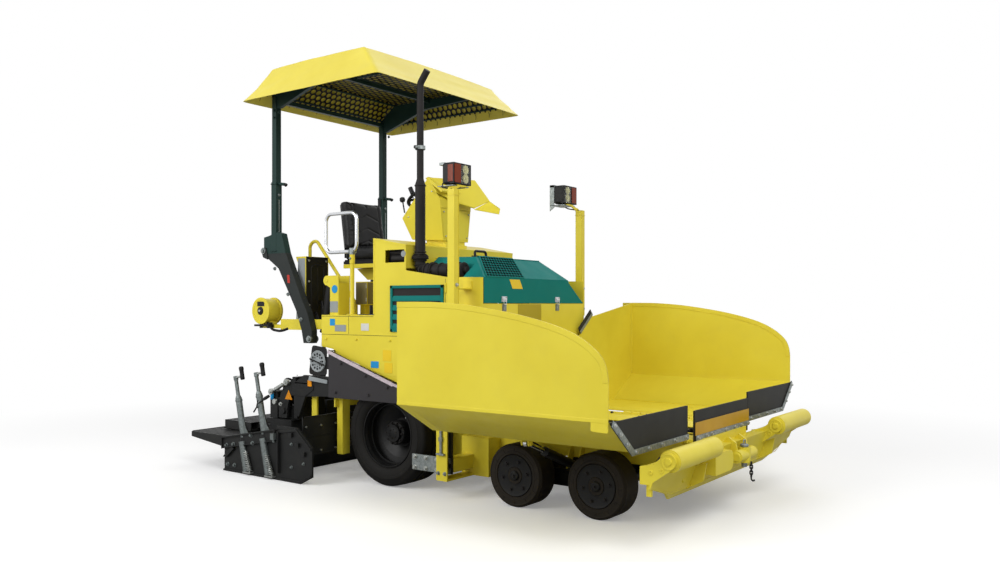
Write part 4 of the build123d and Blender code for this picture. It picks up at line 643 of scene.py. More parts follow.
def make_canopy_cloth():
    """One tarpaulin over the hipped frame: bowed along its folds, with drag lines from its corners."""
    cloth = bar((REAR_EDGE, -SIDE_EDGE, RIM), (FRONT_EDGE, SIDE_EDGE, RIM + RISE))
    bpy.ops.object.transform_apply(location=True, rotation=True, scale=True)
    for vertex in cloth.data.vertices:
        if vertex.co.z > RIM + RISE / 2:
            vertex.co.x = REAR_FOLD if vertex.co.x < (REAR_FOLD + FRONT_FOLD) / 2 else FRONT_FOLD
            vertex.co.y = SIDE_FOLD if vertex.co.y > 0 else -SIDE_FOLD
    bpy.ops.object.mode_set(mode="EDIT")
    mesh = bmesh.from_edit_mesh(cloth.data)
    bpy.ops.mesh.select_all(action="DESELECT")
    for face in mesh.faces:
        face.select_set(face.normal.z < -0.9)
    bpy.ops.mesh.delete(type="FACE")
    bpy.ops.mesh.select_all(action="SELECT")
    bpy.ops.mesh.subdivide(number_cuts=47)
    bpy.ops.mesh.vertices_smooth(factor=0.5, repeat=2)
    bpy.ops.object.mode_set(mode="OBJECT")
    low, high = RIM, RIM + RISE
    length, width = FRONT_EDGE - REAR_EDGE, 2 * SIDE_EDGE
    for vertex in cloth.data.vertices:
        point = vertex.co
        up = (point.z - low) / (high - low)
        along = (point.x - REAR_EDGE) / length
        across = (point.y + SIDE_EDGE) / width
        bow = 16 * along * (1 - along) * across * (1 - across)
        side_bow = max(4 * along * (1 - along) * (abs(point.y) > 0.78), 4 * across * (1 - across) * (up > 0.02))
        # the cloth stands up over its hoops and is drawn in between them along the slopes
        point.z += up * (ARCH * bow ** 0.6 + 0.01 * side_bow) * 0.9
        corner = hypot(min(abs(point.x - REAR_EDGE), abs(point.x - FRONT_EDGE)), SIDE_EDGE - abs(point.y))
        drag = noise.noise(V((point.x * 3.0 + point.y * 2.0, point.z * 14.0 - point.x * 4.0, 0.7)))
        crease = noise.noise(V((point.x * 9.0, point.y * 9.0, point.z * 26.0)))
        pull = max(0.0, 1 - corner / 0.9)
        slack = drag * (0.004 + 0.007 * pull * up * (1 - up) * 4) + crease * 0.0012
        slope_in = up * (1 - up) * 4 * 0.008
        direction = V(UP) if up > 0.985 else V((0, 0, 0.3)) + V((
            (point.x - (REAR_FOLD + FRONT_FOLD) / 2) / length * 1.6, point.y / SIDE_EDGE, 0)).normalized()
        vertex.co = point + direction.normalized() * (slack - slope_in)
    shaped(cloth, "SOLIDIFY", thickness=0.0025, offset=-1.0)
    obj = piece("canopy_cloth", [cloth], CLOTH, "canopy_top", replaces=("canopy_roof",), angle=50)


NET_PITCH, NET_HOLE = 0.06, 0.047
# of a hexagon one wide over its flats: the width over its corners, and the step to the next row
HEX_CORNER, HEX_ROW = 1.1547, 0.866


def net(corners):
    """A net of hexagons with round holes, cut to four corners in one plane."""
    across = (corners[1] - corners[0]).normalized()
    face = across.cross(corners[3] - corners[0]).normalized()
    up = face.cross(across)
    flat = [V(((corner - corners[0]).dot(across), (corner - corners[0]).dot(up), 0)) for corner in corners]
    low_u, high_u = min(c.x for c in flat), max(c.x for c in flat)
    high_v = max(c.y for c in flat)
    ring = outline([(cos(n * pi / 6) * NET_PITCH / 2 * (HEX_CORNER if n % 2 else 1.0),
                     sin(n * pi / 6) * NET_PITCH / 2 * (HEX_CORNER if n % 2 else 1.0), 0) for n in range(12)],
                   "NOTHING")
    edit_all()
    bpy.ops.mesh.extrude_region_move(TRANSFORM_OT_translate={"value": (0, 0, 0)})
    bpy.ops.object.mode_set(mode="OBJECT")
    for vertex in ring.data.vertices[12:]:
        vertex.co = vertex.co.normalized() * NET_HOLE / 2
    ring.location = (low_u, 0, 0)
    bpy.ops.object.transform_apply(location=True, rotation=False, scale=False)
    rows = int(high_v / (NET_PITCH * HEX_ROW)) + 3
    for count, offset in ((int((high_u - low_u) / NET_PITCH) + 2, (NET_PITCH, 0, 0)),
                          (2, (NET_PITCH / 2, NET_PITCH * HEX_ROW, 0)),
                          (rows // 2 + 1, (0, NET_PITCH * 2 * HEX_ROW, 0))):
        shaped(ring, "ARRAY", use_relative_offset=False, use_constant_offset=True, count=count,
               constant_offset_displace=offset)
    bpy.ops.object.mode_set(mode="EDIT")
    for number in range(4):
        start, end = flat[number], flat[(number + 1) % 4]
        bpy.ops.mesh.select_all(action="SELECT")
        bpy.ops.mesh.bisect(plane_co=start, plane_no=(end - start).cross(V(UP)).normalized(),
                            clear_outer=True)
    bpy.ops.object.mode_set(mode="OBJECT")
    shaped(ring, "SOLIDIFY", thickness=0.0025)
    ring.matrix_world = Matrix.Translation(corners[0]) @ Matrix((across, up, face)).transposed().to_4x4()
    return ring


def make_canopy_net():
    """The dark net inside the slopes and under the flat top, laced up a hand above the skirt's edge."""
    def ring_corners(up, inside):
        x_low = REAR_EDGE + (REAR_FOLD - REAR_EDGE) * up + inside
        x_high = FRONT_EDGE + (FRONT_FOLD - FRONT_EDGE) * up - inside
        half = SIDE_EDGE + (SIDE_FOLD - SIDE_EDGE) * up - inside
        z = RIM + RISE * up - inside * 0.4
        return [V((x_low, -half, z)), V((x_high, -half, z)), V((x_high, half, z)), V((x_low, half, z))]
    low, high = ring_corners(0.3, 0.016), ring_corners(1.0, 0.016)
    parts = [net([low[n], low[(n + 1) % 4], high[(n + 1) % 4], high[n]]) for n in range(4)]
    parts.append(net([corner + V((0, 0, -0.006)) for corner in high]))
    # lacing cords from the net's last row to the skirt
    for start, end, count in ((low[0], low[1], 9), (low[1], low[2], 11), (low[2], low[3], 9),
                              (low[3], low[0], 11)):
        for number in range(count):
            top = start.lerp(end, (number + 0.5) / count)
            out = V((top.x + 0.65, top.y, 0)).normalized() * 0.004
            parts.append(tube([top, top + out + V((0.004, 0.003, -0.026)),
                               top + out * 2 + V((-0.003, 0.002, -0.05))], 0.004, 0.008, sides=1))
    piece("canopy_net", parts, NET, "canopy_top")


def make_canopy_frame():
    """The masts' upper tubes, the cross member between them, the tapered beams and the rim behind the net."""
    top = RIM - 0.01
    parts = []
    roof = RIM + RISE - 0.034
    half = [bar((MAST_X - 0.027, MAST_Y - 0.027, 2.29), (MAST_X + 0.027, MAST_Y + 0.027, RIM + 0.062)),
            slab_y([(MAST_X - 0.027, top - 0.02), (MAST_X + 0.06, top - 0.02), (MAST_X + 0.56, roof - 0.085),
                    (-0.16, roof - 0.06), (-0.16, roof), (MAST_X + 0.17, roof), (MAST_X - 0.027, RIM + 0.062)],
                   MAST_Y - 0.018, MAST_Y + 0.018),
            cyl((MAST_X + 0.012, MAST_Y, top), (MAST_X + 0.012, MAST_Y, RIM + 0.07), 0.03)]
    half += bolts([(MAST_X + 0.005, MAST_Y + 0.028, top - 0.04), (MAST_X + 0.005, MAST_Y + 0.028, top - 0.1)],
                  LEFT)
    half += bolts([(MAST_X + 0.06, MAST_Y + 0.019, top - 0.06)], LEFT)
    parts += half + mirrored(half)
    parts += [bar((MAST_X - 0.01, -MAST_Y, top + 0.03), (MAST_X + 0.03, MAST_Y, top + 0.066)),
              bar((-0.72, -MAST_Y, roof - 0.034), (-0.69, MAST_Y, roof - 0.004))]
    up = 0.34
    x_low = REAR_EDGE + (REAR_FOLD - REAR_EDGE) * up + 0.042
    x_high = FRONT_EDGE + (FRONT_FOLD - FRONT_EDGE) * up - 0.042
    edge = SIDE_EDGE + (SIDE_FOLD - SIDE_EDGE) * up - 0.032
    z = RIM + RISE * up
    parts.append(tube([(x_low, -edge, z), (x_high, -edge, z), (x_high, edge, z), (x_low, edge, z)], 0.016, 0.06,
                      sides=2, loop=True))
    for y in (-MAST_Y, MAST_Y):
        for x_from, x_to in ((x_low, MAST_X), (-0.33, x_high)):
            parts.append(tube([(x_from, y, z), (x_to, y, z)], 0.02, sides=2))
    for y in (-0.74, 0.74):
        parts.append(tube([(REAR_FOLD + 0.03, y, RIM + RISE - 0.026), (FRONT_FOLD - 0.03, y, RIM + RISE - 0.026)],
                          0.018, sides=2))
    for x in (MAST_X + 0.14, -0.7, -0.13):
        parts.append(tube([(x, -0.745, RIM + RISE - 0.026), (x, 0.745, RIM + RISE - 0.026)], 0.018, sides=2))
    piece("canopy_bars", parts, POST, "canopy_top", bevel=0.0015, replaces=("canopy_frame",))


make_canopy_cloth()
make_canopy_net()
make_canopy_frame()


# Hood and body

FRONT = 0.944
SIDE_FACE = 0.69


def plate_on(points, origin, across, up, thick=0.0015, radius=0.0):
    """A thin plate with this outline, laid on a face."""
    flat = slab_z(rounded(points, radius) if radius else points, 0, thick)
    return set_down([flat], origin, across, up)


def make_hood_fittings():
    """The louvred panel on the sloping facet over a dark sheet of painted shade, and its frame, the handle, the
    latches and the blank signs, the lower one darkened with painted shade.
    """
    down = V((FRONT - 0.7, 0, 1.585 - 1.746))
    facet = [V((0.702, -0.415, 1.748)), V((0.702, 0.006, 1.748)), V((0.94, -0.182, 1.59)), V((0.94, -0.64, 1.59))]
    out = V((-down.z, 0, down.x)).normalized()
    frame_parts = []
    for start, end in ((facet[0], facet[1]), (facet[1], facet[2]), (facet[2], facet[3]), (facet[3], facet[0])):
        frame_parts.append(tube([start + out * 0.002, end + out * 0.002], 0.013, sides=1))
    # a dark sheet under the louvres: painted shade for the openings behind them
    panel = outline([point + out * 0.0035 for point in facet])
    piece("louvre_shade_sheet", [panel], HEATPROOF, "hood")
    columns, rows = 13, 8
    for row in range(rows):
        for column in range(columns):
            u, v = (column + 0.5) / columns, (row + 0.5) / rows
            top, low = facet[0].lerp(facet[1], u), facet[3].lerp(facet[2], u)
            middle = top.lerp(low, v)
            along = (low - top).normalized()
            side = out.cross(along).normalized()
            # a louvre is a slanted scoop pressed out of the sheet
            scoop = [middle + side * a + along * b + out * c
                     for a, b, c in ((-0.011, -0.013, 0.002), (0.011, -0.013, 0.002), (0.011, 0.009, 0.012),
                                     (-0.011, 0.009, 0.012))]
            frame_parts.append(slab(scoop, out * 0.0015))
    for column in range(columns + 1):
        u = column / columns
        frame_parts.append(tube([facet[0].lerp(facet[1], u) + out * 0.003,
                                 facet[3].lerp(facet[2], u) + out * 0.003], 0.01, sides=1))
    for row in range(1, rows):
        v = row / rows
        frame_parts.append(tube([facet[0].lerp(facet[3], v) + out * 0.002,
                                 facet[1].lerp(facet[2], v) + out * 0.002], 0.007, sides=1))
    seams = [tube([(0.702, 0.38, 1.7475), (0.702, -0.44, 1.7475)], 0.007, sides=1),
             tube([(0.942, -0.67, 1.586), (0.942, 0.44, 1.586)], 0.006, sides=1),
             tube([(0.702, 0.384, 1.749), (0.34, 0.384, 1.756)], 0.006, sides=1)]
    piece("louvres", frame_parts + seams, TEAL, "hood")
    handle = [tube([(0.668, -0.42, 1.75), (0.662, -0.42, 1.792), (0.662, -0.285, 1.792), (0.668, -0.285, 1.75)],
                   0.02, 0.022),
              bar((0.648, -0.44, 1.75), (0.69, -0.402, 1.757)), bar((0.648, -0.303, 1.75), (0.69, -0.265, 1.757))]
    piece("hood_handle", handle, BLACK, "hood")
    hooks, catches = [], []
    for y in (-0.437, 0.276):
        hooks += [bar((FRONT, y - 0.032, 1.412), (FRONT + 0.004, y + 0.032, 1.452)),
                  bar((FRONT + 0.003, y - 0.024, 1.428), (FRONT + 0.012, y + 0.024, 1.438)),
                  tube([(FRONT + 0.009, y - 0.015, 1.432), (FRONT + 0.01, y - 0.015, 1.394),
                        (FRONT + 0.01, y + 0.015, 1.394), (FRONT + 0.009, y + 0.015, 1.432)], 0.006, 0.006)]
        hooks += bolts([(FRONT + 0.002, y - 0.024, 1.445), (FRONT + 0.002, y + 0.024, 1.445)], FORWARD, 0.009,
                       False)
        catches += [bar((FRONT, y - 0.024, 1.345), (FRONT + 0.005, y + 0.024, 1.396)),
                    bar((FRONT + 0.004, y - 0.018, 1.352), (FRONT + 0.011, y + 0.018, 1.382)),
                    cyl((FRONT + 0.008, y - 0.019, 1.386), (FRONT + 0.008, y + 0.019, 1.386), 0.009)]
    piece("hood_latches", hooks, STAINLESS, "hood", bevel=0.0008)
    piece("latch_catches", catches, ZINC, bevel=0.0008)
    sign = plate_on([(-0.085, -0.034), (0.045, -0.034), (0.085, 0.034), (-0.045, 0.034)],
                    (FRONT + 0.0005, -0.285, 1.543), LEFT, UP)
    sign[0].data.transform(Matrix.Scale(-1, 4, FORWARD))
    only(sign[0])
    edit_all()
    leave_closed()
    piece("hood_sign", sign, PLATE, "hood")
    panel = plate_on([(-0.155, -0.095), (0.155, -0.095), (0.155, 0.058), (-0.155, 0.058)],
                     (FRONT + 0.0005, -0.106, 1.338), LEFT, UP)
    # this sign takes the darker copy of the sign yellow, painted shade
    piece("front_wall_sign", panel, SHADED_SIGN_PLATE)
    rubber = [tube([(0.335, -0.67, 1.41), (0.335, -0.67, 1.56), (0.335, -0.44, 1.742), (0.335, 0.38, 1.742)],
                   0.014, 0.01, sides=2)]
    piece("hood_seal", rubber, HOSE)


def make_body_sides():
    """Seams, the framed intakes with painted shade behind their blades, hinges and bolts of the body's sides."""
    face = SIDE_FACE
    dark, teal, yellow = [], [], []
    left, right, low, high, rim = 0.068, 0.59, 1.187, 1.537, 0.022
    for first, last in (((left, low), (left + rim, high)), ((right - rim, low), (right, high)),
                        ((left, high - rim), (right, high)), ((left, low), (right, low + rim))):
        teal.append(bar((first[0], face - 0.002, first[1]), (last[0], face + 0.012, last[1])))
    for number in range(4):
        z = 1.418 - number * 0.07
        teal.append(slab_x([(face, z + 0.046), (face + 0.0095, z + 0.018), (face + 0.0095, z), (face, z)],
                           left + rim, right - rim))
    # the first dark sheet fills each intake behind its blades: painted shade
    dark += [bar((left + 0.004, face - 0.001, low + 0.004), (right - 0.004, face + 0.0015, high - 0.004)),
             bar((0.0, face - 0.06, 1.7), (0.215, face - 0.052, 1.82)),
             cyl((0.05, face - 0.045, 1.745), (0.2, face - 0.045, 1.745), 0.052),
             cyl((0.03, face - 0.03, 1.79), (0.18, face - 0.03, 1.778), 0.012)]
    # the shadow gap between the tank's panel and the floor's edge, and round the battery door
    for x_low, x_high, z_low, z_high in ((-0.7, 0.944, 1.1525, 1.1555), (-0.39, -0.387, 1.16, 1.3),
                                         (-0.7, -0.117, 1.2985, 1.3015), (0.604, 0.607, 0.86, 1.58),
                                         (0.7, 0.703, 1.16, 1.58), (-0.113, -0.11, 1.31, 1.9)):
        dark.append(bar((x_low, face - 0.001, z_low), (x_high, face + 0.0006, z_high)))
    yellow.append(slab_y([(-0.117, 1.906), (0.22, 1.843), (0.22, 1.828), (-0.102, 1.888), (-0.102, 1.32),
                          (-0.117, 1.32)], face, face + 0.003))
    for x, z in ((-0.64, 1.12), (-0.3, 1.12), (0.06, 1.12), (0.35, 0.9), (0.56, 1.12), (0.85, 1.12)):
        yellow += bolts([(x, face, z)], LEFT, 0.016)
    for z in (1.22, 1.48):
        yellow += [cyl((0.612, face + 0.006, z), (0.612, face + 0.006, z + 0.07), 0.012, sides=16),
                   bar((0.61, face, z + 0.005), (0.66, face + 0.004, z + 0.065))]
    handles = [tube([(0.78, face, 1.34), (0.78, face + 0.03, 1.34), (0.86, face + 0.03, 1.34),
                     (0.86, face, 1.34)], 0.011, 0.012)]
    both("side_gaps_and_intake_shade", dark, HEATPROOF)
    both("intake_frames", teal, TEAL, bevel=0.0015)
    both("side_trim", yellow, YELLOW, bevel=0.0008)
    both("door_handles", handles, BLACK)
    for name, x_low, x_high, z_low, z_high, tone in (("blue_sign", -0.143, -0.06, 0.905, 0.956, BLUE_PLATE),
                                                     ("upper_yellow_sign", -0.015, 0.07, 0.962, 1.046, PLATE),
                                                     ("lower_yellow_sign", 0.0, 0.082, 0.872, 0.95, PLATE),
                                                     ("rear_blue_sign", -0.602, -0.544, 1.225, 1.28, BLUE_PLATE),
                                                     ("grey_sign", -0.544, -0.418, 1.18, 1.232, GREY_PLATE),
                                                     ("white_sign", -0.25, -0.165, 1.19, 1.246, WHITE_PLATE)):
        flat = plate_on([(0, 0), (x_high - x_low, 0), (x_high - x_low, z_high - z_low), (0, z_high - z_low)],
                        (x_low, -face - 0.0004, z_low), FORWARD, UP, radius=0.004)
        piece(name, flat, tone)
    oval = spun([(0.001, 0), (0.022, 0), (0.024, 0.002), (0.022, 0.004), (0.001, 0.004)], (0.196, -face, 1.775),
                RIGHT, steps=28)
    piece("fuel_gauge", [oval], GREY_PLATE)


def make_fan():
    """A fan's pierced disc with a dark band across it, in its dark housing on the right-hand side."""
    x, y, z = -0.69, -0.7335, 0.936
    disc = [spun([(0.001, 0.004), (0.022, 0.006), (0.026, 0.002), (0.076, 0.004), (0.084, 0.007), (0.088, 0.002),
                  (0.088, -0.006), (0.001, -0.006)], (x, y - 0.008, z), RIGHT, steps=40)]
    piece("fan_disc", disc, GREY_PLATE, slot="zinc")
    holes = []
    for ring, count, across in ((0.06, 12, 0.018), (0.04, 8, 0.011)):
        for place in around((x, y - 0.0125, z), ring, count):
            holes.append(cyl(place, place + V((0, -0.0015, 0)), across, sides=14))
    holes += [slab_y([(x - 0.085, z + 0.012), (x + 0.085, z - 0.034), (x + 0.085, z - 0.022),
                      (x - 0.085, z + 0.024)], y - 0.02, y - 0.016),
              slab_y(rounded([(x - 0.11, z - 0.11), (x + 0.1, z - 0.11), (x + 0.1, z + 0.11),
                              (x - 0.07, z + 0.13)], 0.03), y - 0.004, y + 0.001),
              bar((x + 0.08, y - 0.004, z - 0.06), (x + 0.15, y + 0.001, z + 0.04))]
    piece("fan_housing", holes, BLACK)
    piece("fan_bracket", [slab_y([(x - 0.11, z - 0.16), (x + 0.11, z - 0.176), (x + 0.11, z - 0.146),
                                  (x - 0.1, z - 0.124)], y - 0.012, y - 0.004)], GREY_PLATE, slot="zinc",
          bevel=0.002)


make_hood_fittings()
make_body_sides()
make_fan()


# Operator's place, exhaust and lamps

SEAT_LOW = 1.77


def make_console_fittings():
    """The raised lid of the desk with its lock, lower trim, switch panel, lever knobs and column boot."""
    lid = [slab([(0.02, -0.222, 2.414), (0.16, 0.222, 2.43), (0.315, 0.222, 2.245), (0.25, 0.1, 2.18),
                 (0.17, -0.05, 2.215), (0.115, -0.222, 2.29)], (0.006, 0, 0.005)),
           slab([(0.315, 0.222, 2.245), (0.44, 0.2, 2.172), (0.438, 0.19, 2.128), (0.25, 0.1, 2.17)],
                (0.005, 0, 0.004)),
           tube([(0.012, -0.224, 2.412), (0.156, 0.224, 2.43)], 0.01, sides=2)]
    piece("console_lid", lid, YELLOW, bevel=0.0012)
    front = [slab_x(rounded([(-0.15, 1.925), (0.15, 1.925), (0.18, 2.165), (-0.18, 2.165)], 0.012), 0.1395, 0.143),
             slab_y([(-0.06, 1.89), (0.136, 1.85), (0.15, 1.85), (0.15, 1.88), (-0.06, 1.93)], -0.133, 0.133),
             bar((0.136, -0.19, 2.17), (0.146, 0.19, 2.182))]
    piece("console_front", front, YELLOW, bevel=0.002)
    screws = bolts([(0.1432, y, z) for y, z in ((-0.135, 1.945), (0.135, 1.945), (-0.16, 2.14), (0.16, 2.14))],
                   FORWARD, 0.012, False)
    screws += bolts([(-0.17, -0.2255, 2.11), (0.08, -0.2255, 2.3)], RIGHT, 0.012, False)
    lock = spun([(0.001, 0.008), (0.014, 0.008), (0.016, 0.004), (0.028, 0.004), (0.031, 0.0), (0.001, 0.0)],
                (0.15, -0.02, 2.238), (0.8, 0, 0.6), steps=32)
    piece("console_screws", screws + [lock], BRIGHT_ZINC)
    slope = V((0.31, 0, 0.3)).normalized()
    up = V((-slope.z, 0, slope.x))

    def on_desk(along, y, high):
        return V((-0.28, y, 2.11)) + slope * along + up * high

    dark, bright = [], []
    dark.append(slab([on_desk(0.05, -0.18, 0.001), on_desk(0.05, 0.18, 0.001), on_desk(0.38, 0.18, 0.001),
                      on_desk(0.38, -0.18, 0.001)], up * 0.004))
    for row in range(3):
        for column in range(6):
            place = on_desk(0.26 + row * 0.04, -0.14 + column * 0.056, 0.005)
            dark.append(cyl(place, place + up * 0.008, 0.02, 0.016, sides=16))
            bright.append(cyl(place + up * 0.008, place + up * 0.018, 0.006, 0.009, sides=10))
    for y in (-0.12, 0.12):
        place = on_desk(0.12, y, 0.005)
        bright.append(spun([(0.024, 0), (0.032, 0), (0.034, 0.006), (0.03, 0.01), (0.024, 0.006)], place, up,
                           steps=28))
        dark.append(cyl(place, place + up * 0.003, 0.052, sides=28))
    for along, y in ((0.06, -0.205), (0.16, 0.2)):
        foot = on_desk(along, y, 0.0)
        dark += [cyl(foot, foot + V((-0.02, 0, 0.09)), 0.012, sides=12),
                 spun([(0.001, 0), (0.018, 0.006), (0.024, 0.022), (0.02, 0.04), (0.001, 0.048)],
                      foot + V((-0.02, 0, 0.085)), (-0.2, 0, 1), steps=20)]
    hub = V((-0.19, 0, 2.3))
    lean = V((-sin(radians(28)), 0, cos(radians(28))))
    dark.append(spun([(0.023, -0.16), (0.052, -0.16), (0.046, -0.13), (0.048, -0.12), (0.038, -0.095),
                      (0.04, -0.086), (0.03, -0.06), (0.023, -0.06)], hub, lean, steps=32))
    piece("console_controls", dark, PLASTIC, angle=40)
    piece("console_bezels", bright, BRIGHT_ZINC)
    cap = [spun([(0.001, 0.034), (0.024, 0.032), (0.036, 0.024), (0.038, 0.012), (0.001, 0.012)], hub, lean,
                steps=32)]
    turn = lean.to_track_quat("Z", "Y")
    for number in range(36):
        start = number * pi / 18
        cap.append(cyl(hub + turn @ V((cos(start) * 0.1405, sin(start) * 0.1405, -0.014)),
                       hub + turn @ V((cos(start + 0.05) * 0.1405, sin(start + 0.05) * 0.1405, -0.012)), 0.01,
                       sides=8))
    piece("steering_hub_cap", cap, PLASTIC, "steering_wheel")


def make_lamps():
    """Each lamp's housing lip, its amber half, and its clear half with two reflectors behind it."""
    x, y, z = 0.784, 0.727, 2.315
    lip = []
    for low, high in (((-0.096, -0.074), (0.096, -0.066)), ((-0.096, 0.066), (0.096, 0.074)),
                      ((-0.098, -0.074), (-0.09, 0.074)), ((0.09, -0.074), (0.098, 0.074)),
                      ((0.012, -0.07), (0.019, 0.07))):
        lip.append(bar((x - 0.004, y + low[0], z + low[1]), (x + 0.009, y + high[0], z + high[1])))
    lip.append(bar((x - 0.03, y - 0.098, z - 0.074), (x - 0.004, y + 0.098, z + 0.074)))

    def lens(left, right, half, radius, back, front):
        corners = [(y + left, z - half), (y + right, z - half), (y + right, z + half), (y + left, z + half)]
        return slab_x(rounded(corners, radius), x + back, x + front)

    clear = [lens(-0.089, 0.012, 0.065, 0.008, 0.0055, 0.008)]
    amber = [lens(0.019, 0.09, 0.066, 0.01, -0.003, 0.012),
             bar((x - 0.045, y + 0.094, z - 0.06), (x + 0.002, y + 0.1005, z + 0.06))]
    mirrors = []
    for low in (-0.03, 0.034):
        mirrors += [spun([(0.001, 0.0005), (0.014, 0.001), (0.027, 0.003), (0.032, 0.0048), (0.033, 0.0048),
                          (0.033, -0.002), (0.001, -0.002)], (x, y - 0.04, z + low), FORWARD, steps=28),
                    spun([(0.001, 0.0045), (0.006, 0.004), (0.009, 0.0015), (0.001, 0.0015)],
                         (x, y - 0.04, z + low), FORWARD, steps=16)]
    lip.append(bar((x - 0.003, y - 0.088, z - 0.066), (x - 0.001, y + 0.012, z + 0.066)))
    both("lamp_lips", lip, PLASTIC, slot="frame_black", bevel=0.0015)
    both("lamp_clear", clear, CLEAR)
    both("lamp_amber", amber, AMBER, bevel=0.002)
    both("lamp_mirrors", mirrors, MIRROR, angle=60)
    brackets = [slab_y([(0.64, 2.18), (0.684, 2.21), (0.684, 2.4), (0.64, 2.4)], 0.64, 0.646),
                bar((0.64, 0.64, 2.226), (0.78, 0.82, 2.232)),
                slab_y([(0.64, 2.38), (0.684, 2.38), (0.684, 2.4), (0.64, 2.4)], 0.64, 0.8)]
    heads = bolts([(0.7, 0.7, 2.2262), (0.7, 0.76, 2.2262)], (0, 0, -1), 0.014)
    heads += bolts([(0.841, 0.853, 1.36), (0.841, 0.853, 1.53)], FORWARD, 0.018)
    both("lamp_brackets", brackets, ZINC, bevel=0.001)
    both("pole_bolts", heads, BRIGHT_ZINC)
    wires = [tube([(0.69, 0.7, 2.3), (0.64, 0.76, 2.26), (0.7, 0.84, 2.215), (0.8, 0.853, 2.196)], 0.01,
                  0.03)]
    both("lamp_wires", wires, HOSE)
    pole = [tube([(0.842, 0.829, 1.3), (0.842, 0.829, 2.188)], 0.004, sides=1),
            bar((0.776, 0.826, 2.15), (0.844, 0.88, 2.154))]
    both("pole_edges", pole, YELLOW)


def make_exhaust_fittings():
    """Flanges with bolts, the ribbed elbow's rings, the slanted tip, clamps and heat shield."""
    x, y = 0.275, -0.59
    rings = []

    def rib(inner, outer, half, place, facing, steps):
        profile = [(inner, -half), (outer, -half), (outer + 0.002, 0), (outer, half), (inner, half)]
        rings.append(spun(profile, place, facing, steps=steps))

    for z, across in ((1.726, 0.1), (1.742, 0.126), (1.754, 0.126), (1.772, 0.096), (1.79, 0.09), (2.29, 0.086)):
        rib(0.03, across / 2, 0.005, (x, y, z), UP, 36)
    for along, across in ((0.03, 0.108), (0.075, 0.122), (0.125, 0.13), (0.14, 0.13), (0.215, 0.118),
                          (0.3, 0.118), (0.38, 0.118), (0.424, 0.112)):
        rib(0.04, across / 2, 0.005, (x + along, y, 1.644), FORWARD, 36)
    centre = V((x + 0.06, y, 1.704))
    for number in range(5):
        turn = radians(12 + number * 16)
        ring = V((-cos(turn), 0, -sin(turn)))
        rib(0.03, 0.045, 0.004, centre + ring * 0.06, (-ring.z, 0, ring.x), 28)
    rings += [slab_y([(x - 0.07, 1.6), (x + 0.01, 1.585), (x + 0.01, 1.62), (x - 0.05, 1.64)], y - 0.04,
                     y - 0.034),
              slab_x([(y - 0.06, 1.76), (y - 0.048, 1.8), (y + 0.048, 1.8), (y + 0.06, 1.76)], x - 0.064,
                     x - 0.058)]
    heads = bolts(list(around((x, y, 1.759), 0.054, 6, UP)), UP, 0.013)
    heads += bolts(list(around((x + 0.145, y, 1.644), 0.056, 6, FORWARD)), FORWARD, 0.013)
    piece("exhaust_rings", rings, HEATPROOF, slot="exhaust_black", bevel=0.0008)
    piece("exhaust_bolts", heads, HEATPROOF, slot="exhaust_black")
    clamp = [spun([(0.036, -0.014), (0.039, -0.014), (0.039, 0.014), (0.036, 0.014)], (x, y, 2.575), UP, steps=32),
             bar((x - 0.012, y - 0.062, 2.566), (x - 0.009, y - 0.036, 2.584)),
             bar((x + 0.009, y - 0.062, 2.566), (x + 0.012, y - 0.036, 2.584))]
    clamp += bolts([(x + 0.012, y - 0.052, 2.575)], FORWARD, 0.011)
    piece("stack_clamp", clamp, ZINC)
    rod_parts = near([cyl((0.64, 0.64, 1.565), (0.64, 0.64, 1.76), 0.007, sides=12),
                      spun([(0.001, 0), (0.01, 0.004), (0.011, 0.018), (0.004, 0.026), (0.001, 0.026)],
                           (0.64, 0.64, 1.712), UP, steps=16),
                      cyl((0.64, 0.64, 1.565), (0.64, 0.64, 1.585), 0.016)])
    piece("marker_rod", rod_parts, BRIGHT_ZINC)


def pad(name, low, high, bend, seams, puff=0.014):
    """An upholstered pad: a rounded block blown up a little as stuffing does, with seams pulled in."""
    block = bar(low, high)
    bpy.ops.object.transform_apply(location=True, rotation=True, scale=True)
    for vertex in block.data.vertices:
        vertex.co = bend(vertex.co)
    shaped(block, "BEVEL", width=0.03, segments=3)
    shaped(block, "REMESH", mode="VOXEL", voxel_size=0.0065)
    before = [vertex.co.copy() for vertex in block.data.vertices]
    cover = block.modifiers.new("cover", "CLOTH")
    cover.settings.use_pressure = True
    cover.settings.uniform_pressure_force = 4.0
    cover.settings.effector_weights.gravity = 0.0
    cover.settings.quality = 5
    cover.point_cache.frame_start, cover.point_cache.frame_end = 1, 20
    for number in range(1, 21):
        bpy.context.scene.frame_set(number)
    bpy.ops.object.modifier_apply(modifier="cover")
    bpy.context.scene.frame_set(1)
    for vertex, start in zip(block.data.vertices, before):
        moved = vertex.co - start
        if moved.length > puff:
            vertex.co = start + moved.normalized() * puff
    block.data.update()
    normals = [vertex.normal.copy() for vertex in block.data.vertices]
    for vertex, normal in zip(block.data.vertices, normals):
        depth = sum(0.007 * max(0.0, 1 - abs(seam(vertex.co)) / 0.012) ** 1.5 for seam in seams)
        fold = noise.noise(vertex.co * 9.0) * 0.0025
        vertex.co += normal * (fold - depth)
    shaped(block, "SUBSURF", levels=1, render_levels=1)
    obj = piece(name, [block], VINYL, angle=80)
    return obj


